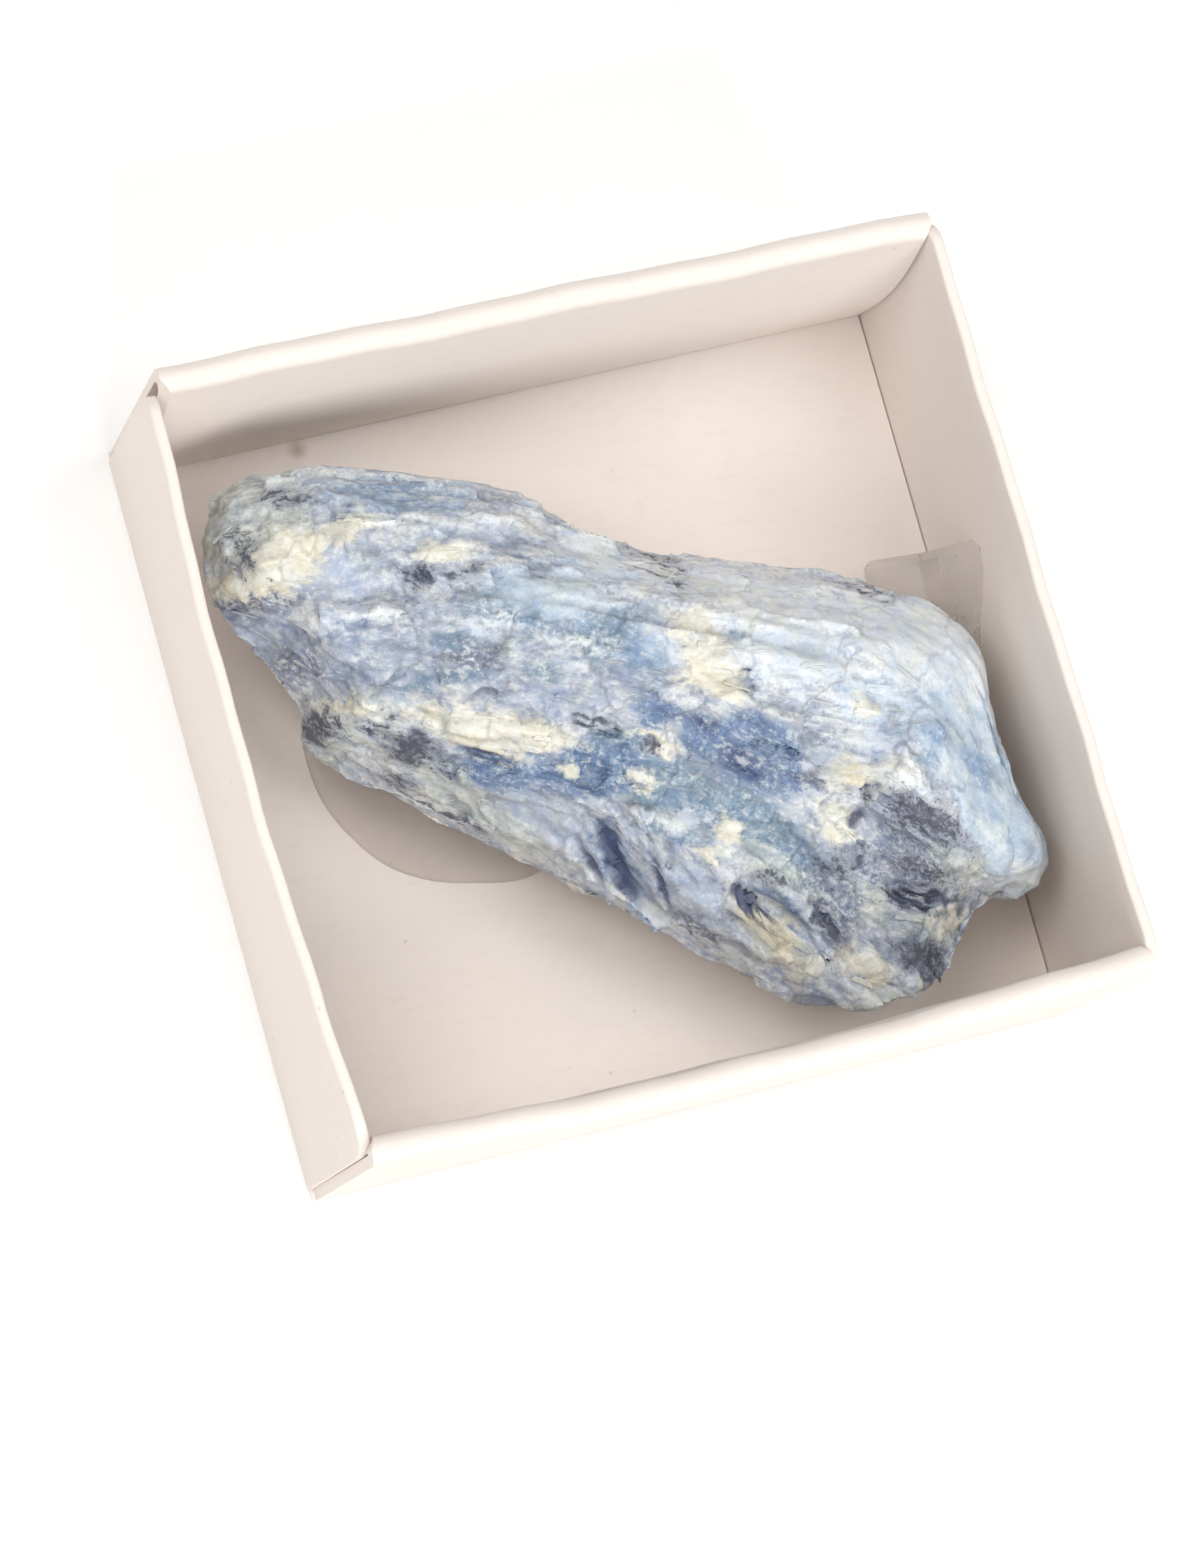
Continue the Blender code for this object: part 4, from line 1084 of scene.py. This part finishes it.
def leaf_section(sizes, leaf_foot, bulge):
    """Depth and height of the card that goes up, rolls over the rim and comes down inside."""
    top = TRAY_HEIGHT - sizes.roll
    section = [(FOLD * (1.0 - math.cos(a)), FOLD * (1.0 - math.sin(a)))
               for a in (1.4, 0.9, 0.4)]
    section += [(0.0, FOLD + (top - FOLD) * step / 12) for step in range(13)]
    for step in range(1, 14):
        angle = math.pi * step / 14
        section.append((sizes.roll * (1.0 - math.cos(angle)),
                        top + sizes.roll * math.sin(angle)))
    foot = sizes.card + 0.04 * MM
    for step in range(19):
        share = step / 18
        depth = 2 * sizes.roll + (leaf_foot - 2 * sizes.roll) * share
        section.append((depth + bulge * math.sin(math.pi * share), top + (foot - top) * share))
    inside = leaf_foot - sizes.card
    return section + [(inside, foot), (inside, 0.2 * MM)]


def double_wall(sizes, side, leaf_foot, bulge, bow, leans, gape):
    """A rolled wall along the tray, whose hollow shows at both ends, gaping by its share."""
    full = leaf_section(sizes, leaf_foot, bulge)
    middle = leaf_foot * 0.5
    hollow = [(middle + (depth - middle) * gape, 0.7 * MM + z * 0.89) for depth, z in full]
    half_x = TRAY_LENGTH / 2 - sizes.end_inset
    pocket = sizes.pocket / half_x
    stations = [(-1.0 + pocket, hollow), (-1.0, hollow)]
    stations += [(-1.0 + 2.0 * step / 32, full) for step in range(33)]
    stations += [(1.0, hollow), (1.0 - pocket, hollow)]
    rings = []
    for along, section in stations:
        swing = bow * (1.0 - along * along)
        swing += (leans[0] * (1.0 - along) + leans[1] * (1.0 + along)) / 2
        swing += 0.05 * MM * math.sin(along * 9.0 + side) + 0.03 * MM * math.sin(along * 23.0)
        reach = sizes.right_lean * (1.0 + along) / 2 if side < 0 else 0.0
        ring = []
        for depth, z in section:
            rise = z / TRAY_HEIGHT
            inner = min(max((depth - sizes.roll) / sizes.roll, 0.0), 1.0)
            gap = inner * sizes.leaf_gap if section is full else 0.0
            ring.append(((half_x - gap) * along + reach * rise,
                         side * (TRAY_WIDTH / 2 + swing * rise - depth), z))
        rings.append(ring)
    return skin(rings, "double_wall")


class KYANITE_OT_tray(bpy.types.Operator):
    """Fold the card tray: floor, two single walls and two rolled double walls"""

    bl_idname = "kyanite.tray"
    bl_label = "Card tray"

    def execute(self, context):
        sizes = context.scene.kyanite_tray
        panels = [
            tray_floor(sizes),
            single_wall(sizes, -1, (0.0, sizes.left_lean), sizes.left_bow, sizes.soft_corner),
            single_wall(sizes, 1, (sizes.right_lean, 0.0), 0.0, sizes.corner),
            double_wall(sizes, 1, sizes.back_foot, sizes.back_bulge, 0.0,
                        (sizes.back_lean, 0.0), BACK_GAPE),
            double_wall(sizes, -1, sizes.foot, sizes.front_bulge, sizes.front_bow,
                        (sizes.front_lean, sizes.front_lean), FRONT_GAPE),
        ]
        tray = join_panels(panels)
        tray.data.materials.append(card_material(sizes))
        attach(tray, "root")
        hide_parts("card_tray")
        return {"FINISHED"}


# The card's warmer shade, its fibres and its dust
CARD_WARMTH = (0.985, 0.955, 0.93)
FIBRE_STRETCH = (900.0, 2600.0, 2600.0)
FIBRE_COLOUR = tint(206, 192, 182)
DUST_COLOUR = tint(150, 140, 136)


def card_material(sizes):
    """Smooth coated card with faint fibres, soft shade in its pulp and a few small marks."""
    graph = Graph(bpy.data.materials.new("card_finish"))
    place = graph.place()
    cloud = graph.noise(place, 90.0, detail=3.0, roughness=0.55)
    fibre = graph.noise(graph.stretched(place, FIBRE_STRETCH), detail=2.0, roughness=0.6)
    dust = graph.noise(place, 1500.0, detail=1.0)
    base = tuple(sizes.card_colour)
    warm = tuple(channel * share for channel, share in zip(base, CARD_WARMTH))
    colour = graph.mix((cloud - 0.25).clamped(), base, warm)
    colour = graph.mix(fibre.step(0.62, 0.2) * 0.10, colour, FIBRE_COLOUR)
    spot = tuple(on_floor(*SPOT_PLACE, sizes.card))
    settings = {"operation": "DISTANCE"}
    reach = graph.node("ShaderNodeVectorMath", settings, {0: place, 1: spot}, output="Value")
    stain = (1.0 - reach * (1.0 / SPOT_RADIUS)).clamped() * (0.5 + cloud)
    colour = graph.mix(stain * 0.85, colour, tuple(sizes.stain_colour))
    colour = graph.mix(dust.step(0.80, 0.03) * 0.25, colour, DUST_COLOUR)
    return graph.surface({
        "Base Color": colour,
        "Roughness": 0.58 + cloud * 0.14,
        "Specular IOR Level": 0.35,
        "Normal": graph.bump(fibre * 0.6 + cloud * 0.4, *CARD_BUMP),
    })


# The glue's two shades, how far it reaches into the card, and the size of the fillet's mesh
GLUE_SHADES = ((0.96, 0.92, 0.89), (1.0, 0.98, 0.96))
GLUE_SINK = 0.06 * MM
FILLET_GRAIN = 0.12 * MM
# The puddle's edge on the plan, and its section as shares of that edge with heights, in millimetres
PUDDLE_EDGE = (
    (-14.3, 3.2), (-14.3, 0.3), (-13.5, -1.9), (-12.0, -4.0), (-10.0, -5.3), (-7.6, -6.0),
    (-5.4, -6.3), (-3.6, -5.6), (-3.2, -3.6), (-5.2, -1.0), (-8.4, 2.0), (-11.2, 4.6),
    (-13.2, 5.0),
)
PUDDLE_SECTION = (
    (0.99, -0.06), (1.0, 0.04), (0.985, 0.16), (0.95, 0.27), (0.89, 0.34), (0.78, 0.39),
    (0.5, 0.42), (0.2, 0.43),
)


def finish_glue(piece, name, look, density, clearness):
    material = glue_material(look, "glue_" + name + "_finish", density, clearness)
    piece.data.materials.clear()
    piece.data.materials.append(material)
    smooth_faces(piece.data)
    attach(piece, "root")
    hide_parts("glue_" + name)


def puddle_form(sizes):
    """A flat drop whose rounded rim follows the named places on the floor."""
    edge = closed_curve([Vector((x * MM, y * MM, 0.0)) for x, y in PUDDLE_EDGE], 8)
    middle = sum(edge, Vector()) / len(edge)
    rings = []
    for share, height in PUDDLE_SECTION:
        level = Vector((0.0, 0.0, sizes.card + height * MM))
        rings.append([middle + (point - middle) * share + level + SHIFT for point in edge])
    return skin(rings, "glue_puddle_dried")


def fillet_form(sizes):
    """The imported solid's form, drawn down to the card and out to the wall it sticks to."""
    low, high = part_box("glue_fillet")
    floor = sizes.card - GLUE_SINK
    wall = TRAY_BOX[1].x - sizes.card + GLUE_SINK
    form = packed_form("glue_fillet", "fillet_form")
    for vertex in form.data.vertices:
        share = (high.z - vertex.co.z) / (high.z - low.z)
        vertex.co.z = high.z - share * (high.z - floor)
        share = (vertex.co.x - low.x) / (high.x - low.x)
        front = 0.5 - (vertex.co.y - SHIFT.y) / TRAY_WIDTH
        rise = math.sin(0.5 * math.pi * vertex.co.z / TRAY_HEIGHT)
        vertex.co.x = low.x + share * (wall + sizes.right_lean * front * rise - low.x)
    even_out(form, FILLET_GRAIN)
    smooth = form.modifiers.new("smooth", "SMOOTH")
    smooth.iterations = 4
    smooth.factor = 0.5
    return plain_mesh(form, "glue_fillet_dried")


class KYANITE_OT_glue(bpy.types.Operator):
    """Make the dried glue: the flat puddle on the floor and the fillet at the right wall"""

    bl_idname = "kyanite.glue"
    bl_label = "Dried glue"

    def execute(self, context):
        look = context.scene.kyanite_glue
        sizes = context.scene.kyanite_tray
        finish_glue(puddle_form(sizes), "puddle", look, look.density, look.clearness)
        finish_glue(fillet_form(sizes), "fillet", look, look.fillet_density, look.fillet_clearness)
        return {"FINISHED"}


def glue_material(look, name, density, clearness):
    """Dried glue, clear but for a little milkiness, with absorption through its depth."""
    graph = Graph(bpy.data.materials.new(name))
    place = graph.place()
    ripple = graph.noise(place, 700.0, detail=2.0)
    absorption = {"Color": (*look.colour, 1.0), "Density": density}
    graph.end("Volume", "ShaderNodeVolumeAbsorption", absorption)
    return graph.surface({
        "Base Color": graph.mix(ripple, *GLUE_SHADES),
        "Roughness": 0.16 + ripple * 0.12,
        "IOR": look.ior,
        "Transmission Weight": clearness,
        "Normal": graph.bump(ripple, *GLUE_BUMP),
    })


# The studio: a pale floor, an even sky and soft panels, each with its place, size and power
FLOOR_HALF = 0.6
PAPER_SHADES = (tint(243, 242, 241), tint(240, 239, 238))
SKY_STRENGTH = 0.40
SKY_COLOUR = (1.0, 0.99, 0.98)
STAGE_GLOW = 0.10
LIGHTS = (
    ("front", (0.0, -0.56, 0.36), (0.40, 0.40), 2.55),
    ("right", (0.28, 0.0, 0.66), (0.36, 0.36), 1.6),
    ("left", (-0.32, 0.10, 0.60), (0.36, 0.36), 1.9),
)


def set_camera(context):
    data = bpy.data.cameras.new("view")
    data.sensor_fit = "HORIZONTAL"
    data.sensor_width = SENSOR_WIDTH
    data.lens = LENS
    data.clip_start = 0.01
    camera = new_object("view", data)
    right, top, back = camera_axes()
    place = Matrix((right, top, back)).transposed().to_4x4()
    place.translation = camera_place()
    camera.matrix_world = place
    context.scene.camera = camera


def set_floor():
    corners = [(x * FLOOR_HALF, y * FLOOR_HALF, 0.0)
               for x, y in ((-1, -1), (1, -1), (1, 1), (-1, 1))]
    floor = new_piece("stage_floor", corners, [(0, 1, 2, 3)])
    graph = Graph(bpy.data.materials.new("stage_paper"))
    cloud = graph.noise(graph.place(), 12.0)
    floor.data.materials.append(graph.surface({
        "Base Color": graph.mix(cloud, *PAPER_SHADES),
        "Roughness": 0.9,
        "Emission Color": (1.0, 1.0, 1.0, 1.0),
        "Emission Strength": STAGE_GLOW,
    }))


def set_light(context):
    scene = context.scene
    scene.view_settings.view_transform = "Standard"
    world = bpy.data.worlds.new("studio")
    scene.world = world
    graph = Graph(world, "ShaderNodeOutputWorld")
    sky = {"Color": (*SKY_COLOUR, 1.0), "Strength": SKY_STRENGTH}
    graph.end("Surface", "ShaderNodeBackground", sky)
    for name, place, size, power in LIGHTS:
        data = bpy.data.lights.new(name, "AREA")
        data.shape = "RECTANGLE"
        data.size, data.size_y = size
        data.energy = power
        light = new_object(name, data)
        light.location = place
        light.rotation_euler = Vector(place).to_track_quat("Z", "Y").to_euler()


class KYANITE_OT_stage(bpy.types.Operator):
    """Set the camera, the pale floor and the soft light"""

    bl_idname = "kyanite.stage"
    bl_label = "Camera and stage"

    def execute(self, context):
        set_camera(context)
        set_floor()
        set_light(context)
        return {"FINISHED"}


class KYANITE_PT_panel(bpy.types.Panel):
    """Lists the steps in the sidebar"""

    bl_idname = "KYANITE_PT_panel"
    bl_label = "Kyanite in a card tray"
    bl_space_type = "VIEW_3D"
    bl_region_type = "UI"
    bl_category = "Kyanite"

    def draw(self, context):
        for step in STEPS:
            self.layout.operator(step.bl_idname)
        for group in SETTINGS:
            settings = getattr(context.scene, group)
            for key in settings.bl_rna.properties.keys():
                if key not in ("rna_type", "name"):
                    self.layout.prop(settings, key)


SETTINGS = {"kyanite_tray": TraySizes, "kyanite_mass": MassLook, "kyanite_glue": GlueLook}
STEPS = (KYANITE_OT_stage, KYANITE_OT_tray, KYANITE_OT_mass, KYANITE_OT_slivers, KYANITE_OT_glue)
CLASSES = (*SETTINGS.values(), *STEPS, KYANITE_PT_panel)


def register():
    for entry in CLASSES:
        bpy.utils.register_class(entry)
    for name, group in SETTINGS.items():
        setattr(bpy.types.Scene, name, PointerProperty(type=group))


def unregister():
    for name in SETTINGS:
        delattr(bpy.types.Scene, name)
    for entry in reversed(CLASSES):
        bpy.utils.unregister_class(entry)


def main():
    register()
    bpy.ops.kyanite.stage()
    bpy.ops.kyanite.tray()
    bpy.ops.kyanite.mass()
    bpy.ops.kyanite.slivers()
    bpy.ops.kyanite.glue()


if __name__ == "__main__":
    main()
